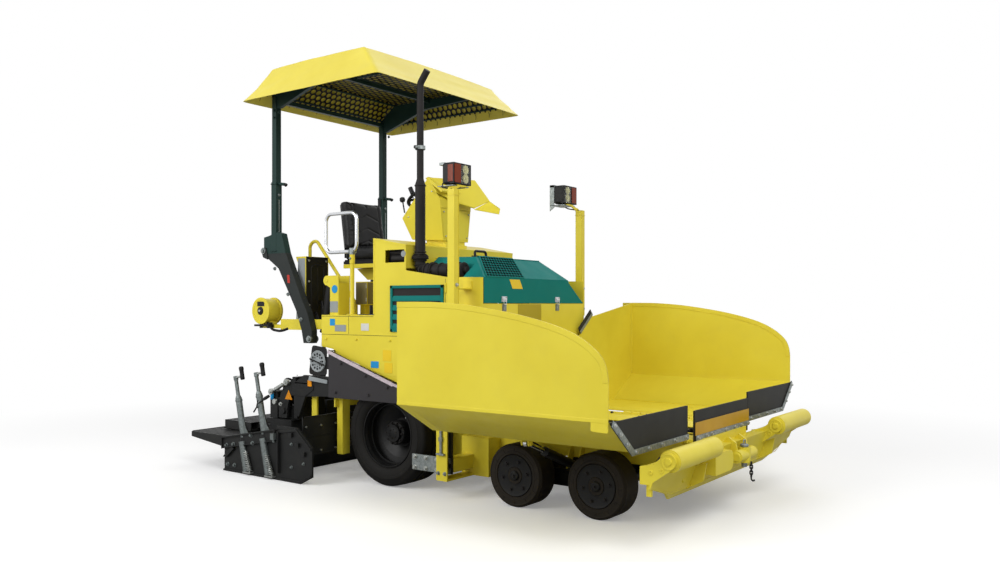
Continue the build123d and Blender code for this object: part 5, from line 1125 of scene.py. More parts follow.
def make_seat():
    """The moulded seat: cushion, folded back with sewn panels, sliding rails and its yellow bracket."""
    def lean(point):
        back = (point.z - 1.87) * 0.13
        waist = 0.03 * max(0.0, (point.z - 2.12)) / 0.18
        return V((point.x - back, point.y * (1 - 0.5 * waist), point.z))

    back_seams = [lambda p: (abs(p.y) - 0.15) if p.x > -0.93 - (p.z - 1.87) * 0.13 else 1.0,
                  lambda p: (p.z - 2.19 + abs(p.y) * 0.35) if abs(p.y) < 0.15 and p.x > -0.95 else 1.0,
                  lambda p: (p.z - 2.07 + abs(p.y) * 0.35) if abs(p.y) < 0.15 and p.x > -0.93 else 1.0,
                  lambda p: (p.z - 1.96 + abs(p.y) * 0.35) if abs(p.y) < 0.15 and p.x > -0.92 else 1.0]
    pad("seat_back", (-0.94, -0.236, 1.872), (-0.85, 0.236, 2.304), lean, back_seams)
    cushion_seams = [lambda p: (abs(p.y) - 0.15) if p.z > 1.84 else 1.0,
                     lambda p: (p.x + 0.64) if p.z > 1.84 and abs(p.y) < 0.15 else 1.0,
                     lambda p: (p.x + 0.76) if p.z > 1.84 and abs(p.y) < 0.15 else 1.0]
    base = SEAT_LOW + 0.012
    seat = pad("seat_cushion", (-0.935, -0.234, base), (-0.545, 0.234, 1.884), lambda p: p, cushion_seams)
    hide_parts("seat")
    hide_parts("seat")
    shell = [slab_y([(-0.952, 1.8), (-0.944, 1.8), (-0.944, 1.87), (-1.0, 2.27), (-1.008, 2.268), (-0.952, 1.87)],
                    -0.2, 0.2),
             bar((-0.948, -0.2, SEAT_LOW + 0.001), (-0.56, 0.2, SEAT_LOW + 0.014))]
    piece("seat_shell", shell, PLASTIC, bevel=0.003)
    under = [bar((-0.93, -0.232, SEAT_LOW - 0.062), (-0.52, -0.212, SEAT_LOW - 0.028)),
             bar((-0.93, 0.212, SEAT_LOW - 0.062), (-0.52, 0.232, SEAT_LOW - 0.028)),
             bar((-0.9, -0.212, SEAT_LOW - 0.058), (-0.86, 0.212, SEAT_LOW - 0.03)),
             bar((-0.6, -0.212, SEAT_LOW - 0.058), (-0.56, 0.212, SEAT_LOW - 0.03)),
             slab_y([(-0.93, SEAT_LOW - 0.06), (-0.56, SEAT_LOW - 0.06), (-0.7, SEAT_LOW - 0.16),
                     (-0.8, SEAT_LOW - 0.16)], -0.07, -0.06)]
    piece("seat_bracket", under, YELLOW, bevel=0.0015)


def make_rails():
    """The bright grab loop in its clamp, its yellow stanchion and the bent rail of the left-hand step."""
    y = -0.65
    loop = tube([(-0.52, y, 1.815), (-0.69, y, 1.815), (-0.69, y, 2.125), (-0.34, y, 2.125), (-0.34, y, 1.815),
                 (-0.519, y, 1.815)], 0.028, 0.06, sides=6)
    piece("grab_loop", [loop], CHROME, replaces=("handrails",), angle=60)
    yellow = [cyl((-0.39, y, 1.312), (-0.39, y, 1.832), 0.034), cyl((-0.39, y, 1.72), (-0.39, y, 1.836), 0.042),
              cyl((-0.39, y, 1.31), (-0.39, y, 1.318), 0.09),
              tube([(-1.264, -0.315, 1.192), (-1.264, -0.315, 1.93), (-1.18, -0.315, 1.96), (-0.69, -0.315, 1.4),
                    (-0.69, -0.315, 1.312)], 0.03, 0.055, sides=6)]
    yellow.append(cyl((-1.264, -0.315, 1.19), (-1.264, -0.315, 1.197), 0.075))
    piece("step_rail", yellow, YELLOW, angle=60)
    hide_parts("handrails")
    clamp = [cyl((-0.39, y, 1.79), (-0.39, y, 1.842), 0.046), cyl((-0.42, y, 1.815), (-0.36, y, 1.815), 0.038)]
    clamp += bolts([(-0.39, y - 0.021, 1.76)], RIGHT, 0.014)
    piece("rail_clamp", clamp, ZINC, bevel=0.001)


make_console_fittings()
make_lamps()
make_exhaust_fittings()
make_seat()
make_rails()


# Hopper

WING_FACE = 1.497
WING_EDGE = ((2.388, 0.98), (2.376, 1.056), (2.337, 1.126), (2.235, 1.205), (2.09, 1.268), (1.86, 1.326),
             (1.6, 1.37), (1.4, 1.394), (1.21, 1.407), (1.05, 1.41), (0.88, 1.41))


def smooth_line(points, steps=5):
    """More points along a smooth line through these."""
    points = [V(point) for point in points]
    made = []
    for number in range(len(points) - 1):
        before = points[max(number - 1, 0)]
        start, end = points[number], points[number + 1]
        after = points[min(number + 2, len(points) - 1)]
        for step in range(steps):
            t = step / steps
            made.append(0.5 * (2 * start + (end - before) * t + (2 * before - 5 * start + 4 * end - after) * t * t
                               + (3 * start - before - 3 * end + after) * t ** 3))
    return made + [points[-1]]


def make_wings():
    """The folding wings: curved outer wall with its edge strip, slanted bottom, floor and rear wall."""
    edge = [tuple(point) for point in smooth_line(WING_EDGE)]
    parts = [slab_y([(0.88, 0.765), (2.388, 0.765)] + edge, WING_FACE - 0.008, WING_FACE - 0.0015)]
    section = [(WING_FACE, 0.765), (1.153, 0.563), (0.514, 0.563), (0.514, 0.571), (1.151, 0.571), (1.4875, 0.77),
               (1.4875, 0.785), (WING_FACE, 0.785)]
    parts += [slab_x(section, 0.96, 2.388),
              slab_x([(WING_FACE, 0.765), (1.153, 0.563), (1.153, 0.571), (1.4875, 0.77), (1.4875, 0.785),
                      (WING_FACE, 0.785)], 0.88, 0.9595),
              slab_x([(1.493, 1.406), (1.493, 0.767), (1.153, 0.565), (0.514, 0.565), (0.52, 1.07), (0.56, 1.11),
                      (0.79, 1.294)], 0.96, 0.968)]
    # a flat bar is welded along the wall's edge, and the corner is folded to a radius
    band = [V(point) for point in edge]
    for start, end in zip(band, band[1:]):
        way = (end - start).normalized()
        inward = V((-way.y, way.x)) * 0.034
        a, b, c, d = start, end, end + inward, start + inward
        parts.append(slab_y([tuple(a), tuple(b), tuple(c), tuple(d)], WING_FACE - 0.0115, WING_FACE))
    parts += [slab_y(rounded([(2.281, 0.716), (2.386, 0.712), (2.386, 0.785), (2.281, 0.785)], 0.012),
                     WING_FACE - 0.007, WING_FACE - 0.0005), bar((0.962, 1.47, 0.79), (0.974, 1.491, 1.404)),
              slab_x([(1.148, 0.571), (1.16, 0.571), (1.16, 0.577), (1.148, 0.577)], 0.962, 2.386),
              slab_x([(0.5205, 1.07), (0.5605, 1.11), (0.79, 1.294), (0.782, 1.304), (0.548, 1.116),
                      (0.5075, 1.074)], 0.9598, 0.972)]
    for x in (1.01, 1.5, 1.9, 2.29):
        for eye_x in (x - 0.076, x + 0.076):
            if 0.96 < eye_x < 2.318:
                parts += [spun([(0.0142, 0), (0.023, 0), (0.023, 0.07), (0.0142, 0.07)], (eye_x, 0.49, 0.545),
                               FORWARD, steps=24),
                          bar((eye_x, 0.505, 0.551), (eye_x + 0.07, 0.55, 0.566))]
    for x in (1.469, 1.521):
        parts.append(slab_x([(0.93, 0.565), (0.99, 0.565), (0.978, 0.496), (0.942, 0.496)], x, x + 0.012))
    for x in (1.463, 1.533):
        parts.append(cyl((x, 0.96, 0.512), (x + 0.006, 0.96, 0.512), 0.03))
    pair("wing_sheet", parts, YELLOW, "hopper_wing_{}", bevel=0.0012)
    for side in SIDES:
        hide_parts(f"hopper_wing_{side}")


def make_flap_strips():
    """Galvanised clamping strips with their bolts, and the painted plate on the middle flap."""
    face = 2.4065
    strips = [slab_x([(0.516, 0.563), (1.261, 0.563), (1.489, 0.748), (1.475, 0.782), (1.245, 0.597),
                      (0.516, 0.597)], face - 0.001, face + 0.002),
              slab_x([(1.452, 0.77), (1.485, 0.77), (1.485, 0.751), (1.265, 0.578), (1.245, 0.6)], face,
                     face + 0.003)]
    pair("flap_strip", strips, ZINC, "hopper_wing_{}", bevel=0.0006)
    places = [(face + 0.002, y, 0.58) for y in (0.56, 0.72, 0.89, 1.06, 1.215)]
    places += [(face + 0.003, 1.32, 0.635), (face + 0.003, 1.4, 0.699), (face + 0.003, 1.463, 0.752)]
    pair("flap_bolts", bolts(places, FORWARD, 0.017), BRIGHT_ZINC, "hopper_wing_{}")
    piece("centre_plate", [bar((2.4245, -0.46, 0.578), (2.4275, 0.46, 0.66))], CENTRE_PLATE,
          bevel=0.001)
    strip = [bar((2.4285, -0.455, 0.546), (2.4315, 0.455, 0.579)),
             bar((2.43, -0.18, 0.552), (2.4345, -0.02, 0.574))]
    piece("centre_strip", strip, ZINC, bevel=0.0006)
    places = [(2.4315, y, 0.563) for y in (-0.43, -0.3, -0.215, 0.03, 0.19, 0.31, 0.43)]
    piece("centre_bolts", bolts(places, FORWARD, 0.017), BRIGHT_ZINC)


def make_rear_seal():
    """Rubber seals on galvanised strips between the body and each wing's rear wall."""
    low, high = V((0.9745, 0.572, 1.165)), V((0.9745, 0.765, 1.318))
    way = (high - low).normalized()
    side = V((0, -way.z, way.y))
    rubber = slab([low + side * 0.045, high + side * 0.045, high - side * 0.01, low - side * 0.01], (0.006, 0, 0))
    low, high = low + V((0.006, 0, 0)), high + V((0.006, 0, 0))
    strip = slab([low + side * 0.012, high + side * 0.012, high - side * 0.012, low - side * 0.012],
                 (0.003, 0, 0))
    pair("wing_seal", [rubber], FLAP, "hopper_wing_{}")
    pair("wing_seal_strip", [strip], ZINC, "hopper_wing_{}", bevel=0.0006)


def make_hopper_floor():
    """Wear plates beside the slat chain, bolts and the chain guards over it."""
    parts = [bar((0.946, 0.275, 0.549), (2.405, 0.452, 0.553))]
    heads = bolts([(x, y, 0.553) for x in (1.05, 1.35, 1.65, 1.95, 2.25) for y in (0.3, 0.43)], UP, 0.018)
    shields = [slab_x([(0.205, 0.528), (0.275, 0.56), (0.275, 0.566), (0.262, 0.566), (0.205, 0.534)], 0.95, 2.33)]
    both("floor_plates", parts, YELLOW, bevel=0.001)
    both("floor_bolts", heads, STEEL)
    both("chain_shields", shields, YELLOW, bevel=0.001)


make_wings()
make_flap_strips()
make_rear_seal()
make_hopper_floor()


# Push beam

def make_push_beam_fittings():
    """Roller caps, cheek bolts, the towing pin and its chain, gusset plates and pipe ends."""
    x, z = 2.5875, 0.54
    parts = []
    for y in (1.187, 0.545):
        out = 1 if y > 1 else -1
        parts.append(spun([(0.001, 0.01), (0.018, 0.01), (0.021, 0.006), (0.022, 0.002), (0.036, 0.002),
                           (0.038, 0.004), (0.044, 0.004), (0.044, -0.001), (0.001, -0.001)], (x, y, z),
                          (0, out, 0), steps=36))
        for bolt_x, bolt_z in ((2.48, 0.471), (2.546, 0.487)):
            parts.append(spun([(0.006, 0.004), (0.013, 0.004), (0.015, 0.0), (0.006, 0.0)], (bolt_x, y, bolt_z),
                              (0, out, 0), steps=20))
    parts += [slab_y([(2.43, 0.33), (2.47, 0.47), (2.476, 0.468), (2.438, 0.326)], 0.614, 0.64),
              slab_x([(0.7, 0.35), (0.74, 0.34), (0.76, 0.372), (0.748, 0.405), (0.712, 0.408)], 2.462, 2.474)]
    end = [(0.018, 0.001), (0.052, 0.001), (0.0605, -0.003), (0.0605, -0.01), (0.018, -0.01)]
    roller_ends = [spun(end, (x, 1.166, z), LEFT, steps=40), spun(end, (x, 0.566, z), RIGHT, steps=40)]
    middle = [spun([(0.02, 0.05), (0.038, 0.05), (0.042, 0.046), (0.042, -0.046), (0.038, -0.05), (0.02, -0.05)],
                   (2.565, 0, 0.415), UP, steps=40)]
    for y in (-0.139, 0.139):
        middle.append(spun([(0.001, 0.006), (0.024, 0.006), (0.034, 0.0), (0.04, 0.0), (0.04, -0.002),
                            (0.001, -0.002)], (2.565, y, 0.415), (0, y, 0), steps=32))
    middle.append(bar((2.452, -0.25, 0.345), (2.53, -0.24, 0.485)))
    for corner_y in (-1.15, 1.15):
        middle.append(bar((2.44, corner_y - 0.01, 0.33), (2.47, corner_y + 0.01, 0.48)))
    seams = [tube([(2.4615, -1.15, 0.378), (2.4655, -0.905, 0.3035), (2.4655, 0.905, 0.3035),
                   (2.4615, 1.15, 0.378)], 0.005, sides=1)]
    piece("push_beam_fittings", parts + mirrored(parts) + middle + seams, YELLOW, bevel=0.001)
    pair("push_roller_rims", roller_ends, YELLOW, "push_roller_{}")
    links = []
    for number in range(5):
        top = V((2.612, 0.0, 0.372 - number * 0.019))
        wide = V((0.009, 0, 0)) if number % 2 else V((0, 0.009, 0))
        links.append(tube([top + wide, top - wide, top - wide - V((0, 0, 0.028)), top + wide - V((0, 0, 0.028))],
                          0.008, 0.008, sides=1, loop=True))
    links.append(tube([(2.612, 0, 0.275), (2.612, 0, 0.258), (2.622, 0, 0.246), (2.634, 0, 0.256)], 0.011, 0.008,
                      sides=2))
    piece("towing_chain", links, HEATPROOF)
    pin = [spun([(0.001, -0.08), (0.017, -0.08), (0.019, -0.07), (0.019, 0.052), (0.028, 0.054), (0.028, 0.064),
                 (0.02, 0.07), (0.001, 0.07)], (2.565, 0, 0.415), UP, steps=32),
           tube([(2.565, -0.018, 0.482), (2.565, -0.018, 0.51), (2.565, 0.018, 0.51), (2.565, 0.018, 0.482)],
                0.008, 0.014, sides=2)]
    piece("towing_pin", pin, ZINC)
    valve = near([cyl((2.45, 1.06, 0.456), (2.45, 1.076, 0.456), 0.044),
                  cyl((2.45, 1.06, 0.456), (2.45, 1.084, 0.456), 0.02)])
    piece("blue_cap", valve, BLUE_PLATE)
    hose = near([tube([(2.43, 1.05, 0.456), (2.438, 0.98, 0.52), (2.43, 0.9, 0.5)], 0.022, 0.06),
                 cyl((2.444, 1.118, 0.44), (2.444, 1.124, 0.44), 0.05)])
    piece("front_hose", hose, HOSE)


make_push_beam_fittings()


# Wheels

REAR_R, REAR_MIDDLE = 0.397, 0.5265


def make_rear_wheels():
    """Worn lugged tyres, dished rims with their lock rings, hub studs and valves."""
    half, r = 0.1625, REAR_R
    outside = [(0.252, half - 0.04), (0.262, half - 0.02), (0.29, half - 0.006), (0.318, half - 0.004),
               (0.32, half - 0.001), (0.336, half), (0.34, half - 0.004), (0.372, half - 0.01),
               (r - 0.012, half - 0.02), (r - 0.003, half - 0.034),
               (r - 0.001, 0.062), (r - 0.011, 0.059), (r - 0.011, 0.051), (r, 0.048), (r, 0.006),
               (r - 0.011, 0.004)]
    profile = [(across, -along) for across, along in outside] + outside[::-1]
    tyre = [spun(profile, (0, REAR_MIDDLE, r), LEFT, steps=72)]
    pair("rear_tyre_rubber", tyre, TYRE, "rear_wheel_{}", angle=40)
    for side in SIDES:
        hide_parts(f"rear_tyre_{side}")
    centre = V((0, REAR_MIDDLE, r))
    black = [spun([(0.243, 0.122), (0.252, 0.122), (0.256, 0.13), (0.252, 0.138), (0.243, 0.138)], centre, LEFT,
                  steps=64),
             spun([(0.222, 0.06), (0.236, 0.06), (0.236, 0.068), (0.222, 0.068)], centre, LEFT, steps=64),
             spun([(0.068, 0.03), (0.094, 0.03), (0.094, 0.04), (0.086, 0.048), (0.068, 0.048)], centre, LEFT,
                  steps=48),
             spun([(0.001, 0.072), (0.04, 0.072), (0.052, 0.066), (0.056, 0.056), (0.056, 0.04), (0.001, 0.04)],
                  centre, LEFT, steps=48)]
    studs = []
    places = list(around(centre + V((0, 0.046, 0)), 0.08, 10))
    studs += bolts(places, LEFT, 0.019)
    studs += [cyl(place, place + V((0, 0.02, 0)), 0.01, sides=12) for place in places]
    studs += bolts(list(around(centre + V((0, 0.069, 0)), 0.035, 6, first=0.3)), LEFT, 0.01, False)
    valve = [tube([centre + V((0.15, -0.01, 0.15)), centre + V((0.15, 0.045, 0.15)),
                   centre + V((0.128, 0.07, 0.128))], 0.01, 0.02)]
    pair("rear_rim_rings", black, BLACK, "rear_wheel_{}", bevel=0.0012)
    pair("rear_wheel_studs", studs, HEATPROOF, "rear_wheel_{}")
    pair("rear_valve", valve, BRIGHT_ZINC, "rear_wheel_{}")


def make_front_wheels():
    """Discs, hub caps, nuts and the moulded rings on the solid tyres."""
    for place, x, outer in (("front", 1.815, 0.632), ("middle", 1.187, 0.65)):
        centre = V((x, outer, 0.2185))
        rubber = []
        for inner, crest, outside, high in ((0.196, 0.2, 0.206, 0.0025), (0.164, 0.167, 0.17, 0.002)):
            rubber.append(spun([(inner, 0.0005), (crest, high), (outside, 0.0005), (outside, -0.002),
                                (inner, -0.002)], centre, LEFT, steps=56))
        hub = centre + V((0, 0.0002, 0))
        for start, end in zip(around(hub, 0.172, 12), around(hub, 0.192, 12)):
            rubber.append(tube([start, end], 0.006, sides=1))
        pair(f"{place}_tyre_rings", rubber, SOLID_TYRE, f"{place}_wheel_{{}}")
        disc = [spun([(0.139, -0.011), (0.143, -0.004), (0.14, 0.0), (0.128, -0.003), (0.078, -0.007),
                      (0.06, -0.006), (0.06, -0.012), (0.139, -0.012)], centre, LEFT, steps=48),
                spun([(0.001, 0.012), (0.026, 0.012), (0.034, 0.006), (0.036, -0.004), (0.036, -0.012),
                      (0.001, -0.012)], centre, LEFT, steps=36)]
        pair(f"{place}_wheel_disc", disc, BLACK, f"{place}_wheel_{{}}", bevel=0.0008)
        nuts = bolts(list(around(centre - V((0, 0.005, 0)), 0.102, 6, first=0.2)), LEFT, 0.02)
        nuts += bolts([centre + V((0, 0.012, 0))], LEFT, 0.016)
        pair(f"{place}_wheel_nuts", nuts, HEATPROOF, f"{place}_wheel_{{}}")


def make_bogie_fittings():
    """Steering links, grease points and bolts between the front wheels."""
    links = [cyl((1.3, 0.33, 0.24), (1.7, 0.33, 0.24), 0.036)]
    heads = []
    for x in (1.187, 1.815):
        heads += bolts([(x - 0.02, 0.392, 0.321), (x + 0.02, 0.392, 0.321)], UP, 0.014)
        links.append(spun([(0.012, 0), (0.03, 0), (0.03, 0.012), (0.012, 0.018)], (x, 0.405, 0.319), UP, steps=24))
    for x in (1.44, 1.501, 1.562):
        heads += bolts([(x, 0.331, 0.29)], LEFT, 0.022)
    hoses = [tube([(1.46, 0.31, 0.36), (1.43, 0.33, 0.3), (1.42, 0.325, 0.24)], 0.018, 0.05),
             tube([(1.54, 0.31, 0.36), (1.57, 0.33, 0.3), (1.58, 0.325, 0.24)], 0.018, 0.05)]
    both("bogie_links", links, BLACK, bevel=0.001)
    both("bogie_bolts", heads, BRIGHT_ZINC)
    both("bogie_hoses", hoses, HOSE)


make_rear_wheels()
make_front_wheels()
make_bogie_fittings()


# Rear of the machine

def make_cable_station():
    """The portal of the cable reel: slot guide, blank signs, reel window, feet, cable and hose."""
    grey, zinc, dark, hose, yellow = [], [], [], [], []
    dark += [bar((-1.0025, -0.59, 1.192), (-1.0012, -0.345, 1.798)),
                      bar((-1.002, -0.465, 1.25), (-0.999, -0.455, 1.73))]
    dark.append(tube([(-1.0005, -0.535, 1.25), (-1.0005, -0.395, 1.25), (-1.0005, -0.395, 1.73),
                               (-1.0005, -0.535, 1.73)], 0.01, 0.04, sides=2, loop=True))
    grey.append(slab_y([(-1.128, 1.205), (-1.012, 1.205), (-1.012, 1.785), (-1.1, 1.785)], -0.5915, -0.5905))
    for z in (1.225, 1.39, 1.59, 1.765):
        zinc += bolts([(-0.9995, -0.56, z), (-0.9995, -0.367, z)], FORWARD, 0.013)
    x, z = -1.47, 1.34
    for y in (-0.688, -0.556):
        yellow.append(spun([(0.088, 0.004), (0.113, 0.004), (0.1155, 0.0), (0.113, -0.004), (0.088, -0.004)],
                                    (x, y, z), RIGHT, steps=40))
    yellow.append(cyl((x, -0.684, z), (x, -0.552, z), 0.212, sides=14))
    dark += [spun([(0.001, 0.0), (0.036, 0.0), (0.034, 0.008), (0.02, 0.012), (0.001, 0.012)],
                           (x, -0.689, z), RIGHT, steps=28),
             bar((x - 0.045, -0.6905, z + 0.038), (x + 0.05, -0.6885, z + 0.08))]
    zinc.append(cyl((x, -0.7, z), (x, -0.706, z), 0.02))
    dark += [bar((x - 0.1, -0.68, 1.205), (x + 0.09, -0.56, 1.222)),
                      cyl((x + 0.06, -0.64, 1.19), (x + 0.06, -0.64, 1.24), 0.05),
                      cyl((x - 0.05, -0.64, 1.19), (x - 0.05, -0.64, 1.235), 0.034)]
    hose += [tube([(x + 0.075, -0.66, 1.215), (-1.34, -0.665, 1.178), (-1.24, -0.66, 1.166),
                            (-1.2, -0.612, 1.19)], 0.022, 0.09),
             tube([(-0.985, -0.5, 1.32), (-0.9, -0.56, 1.29), (-0.86, -0.586, 1.2)], 0.03, 0.11),
             tube([(-0.99, -0.43, 1.42), (-0.88, -0.52, 1.33), (-0.81, -0.588, 1.21)], 0.02, 0.11)]
    piece("station_front", dark, BLACK, bevel=0.0008)
    piece("station_cheek", grey, GREY_PLATE)
    piece("station_bolts", zinc, BRIGHT_ZINC)
    piece("reel_rims", yellow, YELLOW)
    piece("rear_hoses", hose, HOSE)


def make_deck_fittings():
    """Tread strips on the floor, its kick plate, blank signs on the uprights and the cabinet's door."""
    treads = []
    for number in range(9):
        x = -0.67 + number * 0.062
        treads.append(bar((x, -0.56, 1.3095), (x + 0.012, 0.56, 1.3125)))
    piece("floor_treads", treads, ZINC, bevel=0.0006)
    y = 0.604
    blue = near([spun([(0.001, 0.0), (0.033, 0.0), (0.033, 0.002), (0.001, 0.002)], (-0.64, y, 1.52), LEFT,
                      steps=36)])
    red = near([slab_y([(-1.136, 1.643), (-1.106, 1.643), (-1.098, 1.575), (-1.128, 1.575)], 0.6805, 0.682)])
    grey = near([bar((-0.694, y, 1.33), (-0.602, y + 0.0015, 1.42)),
                 bar((-0.655, 0.605, 1.215), (-0.56, 0.6065, 1.29))])
    piece("round_sign", blue, BLUE_PLATE)
    piece("red_sign", red, RED_PLATE)
    piece("grey_signs", grey, GREY_PLATE)
    cabinet = [bar((-0.6645, -0.3425, 1.398), (-0.536, -0.3405, 1.578)),
               bar((-0.658, -0.3445, 1.48), (-0.65, -0.34, 1.5)),
               bar((-0.535, -0.334, 1.398), (-0.5335, -0.266, 1.578))]
    hinges = [cyl((-0.54, -0.343, z), (-0.54, -0.343, z + 0.03), 0.01) for z in (1.42, 1.53)]
    piece("cabinet_door", cabinet, CABINET, bevel=0.002)
    piece("cabinet_hinges", hinges, BRIGHT_ZINC)
    cap = [spun([(0.001, 0.0), (0.045, 0.0), (0.045, 0.02), (0.036, 0.028), (0.001, 0.028)], (-0.2, 0.48, 1.311),
                UP, steps=36)]
    piece("filler_cap", cap, PLASTIC, slot="frame_black")


def make_canopy_fittings():
    """Pivot bolts, feet and slot pins of the arms, mast collars, levers and wedge blocks."""
    pivots = []
    for x, z in ((-1.43, 1.856), (-0.85, 1.11)):
        pivots += [cyl((x, 0.681, z), (x, 0.697, z), 0.055),
                   cyl((x, 0.697, z), (x, 0.709, z), 0.034, sides=6),
                   cyl((x, 0.612, z), (x, 0.619, z), 0.055)]
    pivots += bolts([(-1.29, 0.681, 1.7), (-1.12, 0.681, 1.48), (-0.96, 0.681, 1.27)], LEFT, 0.022)
    pair("arm_pivots", pivots, ZINC)
    collars = []
    for z in (1.85, 2.424):
        corners = [(-1.342, 0.616), (-1.274, 0.616), (-1.274, 0.684), (-1.342, 0.684)]
        rim = tube([(x, y, z) for x, y in corners], 0.01, 0.004, sides=2, loop=True)
        collars.append(rim)
    pair("mast_collars", collars, POST, "canopy_mast")
    knobs = [spun([(0.001, 0), (0.01, 0.002), (0.013, 0.014), (0.01, 0.026), (0.001, 0.03)], (-1.198, 0.65, 2.4),
                  (0.6, 0, 0.4), steps=20),
             bar((-1.338, 0.612, 2.3), (-1.3, 0.619, 2.42))]
    pair("mast_knobs", knobs, PLASTIC, "canopy_mast")
    pins = [bar((-1.276, 0.646, 1.975), (-1.2735, 0.654, 2.29))]
    pins += bolts([(-1.2765, 0.65, z) for z in (1.93, 2.33)], FORWARD, 0.016)
    pair("mast_strip", pins, ZINC, "canopy_mast")


def make_guard_trim():
    """A light strip along the guard plate's top edge, a painted highlight of its flange, and its bolts."""
    strips = []
    for end, width in (((-0.566, 0.7435, 1.034), 0.03), ((0.7, 0.7435, 0.631), 0.022)):
        low, high = V((0.143, 0.7435, 0.806)), V(end)
        way = (high - low).normalized()
        side = V((way.z, 0, -way.x))
        if side.z > 0:
            side = -side
        strips.append(slab([low + side * 0.002, high + side * 0.002, high + side * width, low + side * width],
                           (0, 0.003, 0)))
    # the light strip stands for the flange's lit top: painted highlight
    pair("guard_edge_highlight", strips, EDGE_HIGHLIGHT_ZINC)
    apron = slab_y([(-0.56, 1.157), (-0.56, 1.01), (0.14, 0.8), (0.3, 0.76), (0.3, 1.157)], 0.6835, 0.689)
    pair("side_apron", [apron], YELLOW, bevel=0.001)
    places = [(x, 0.7402, z) for x, z in ((-0.42, 0.93), (-0.15, 0.846), (0.08, 0.77), (-0.48, 0.7),
                                          (-0.12, 0.7), (0.3, 0.69), (0.56, 0.625))]
    pair("guard_bolts", bolts(places, LEFT, 0.02), GUARD)


def make_tow_point():
    """Bolts of the towing plates, the towing pin and the adjusting screws by the post."""
    places = [(x, 0.7315, z) for x in (0.35, 0.455, 0.56) for z in (0.2, 0.275)]
    pair("tow_bolts", bolts(places, LEFT, 0.024), BRIGHT_ZINC, "screed")
    pin = [cyl((0.64, 0.7315, 0.24), (0.64, 0.748, 0.24), 0.052),
           cyl((0.64, 0.748, 0.24), (0.64, 0.754, 0.24), 0.034), bar((0.625, 0.748, 0.19), (0.655, 0.752, 0.29))]
    pair("tow_pin", pin, STEEL, "screed", bevel=0.001)
    rods = [cyl((0.64, 0.783, 0.33), (0.64, 0.783, 0.62), 0.022),
            cyl((0.64, 0.783, 0.42), (0.64, 0.783, 0.45), 0.036, sides=6),
            cyl((0.64, 0.783, 0.56), (0.64, 0.783, 0.58), 0.036, sides=6),
            bar((0.605, 0.7755, 0.322), (0.675, 0.798, 0.334)), bar((0.605, 0.7755, 0.612), (0.675, 0.798, 0.624))]
    rods += bolts([(0.61, 0.7755, 0.19), (0.67, 0.7755, 0.19), (0.61, 0.7755, 0.7), (0.67, 0.7755, 0.7)],
                  LEFT, 0.02)
    pair("tow_screw", rods, ZINC, bevel=0.0008)


make_cable_station()
make_deck_fittings()
make_canopy_fittings()
make_guard_trim()
make_tow_point()


# Screed

CRANKS = ((-1.317, 0.37, -1.408, 0.786), (-1.053, 0.42, -1.143, 0.829))    # foot and head, x and z
END_FACE = 1.0
CRANK_PLANE = END_FACE - 0.008
SLIDE = "screed_extension_{}"


def on_crank(crank, height, out=0.0):
    """A place on a crank's line at this height, so far out from the cranks' plane."""
    low_x, low_z, high_x, high_z = crank
    lean = (high_x - low_x) / (high_z - low_z)
    return V((low_x + lean * (height - low_z), CRANK_PLANE + out, height))


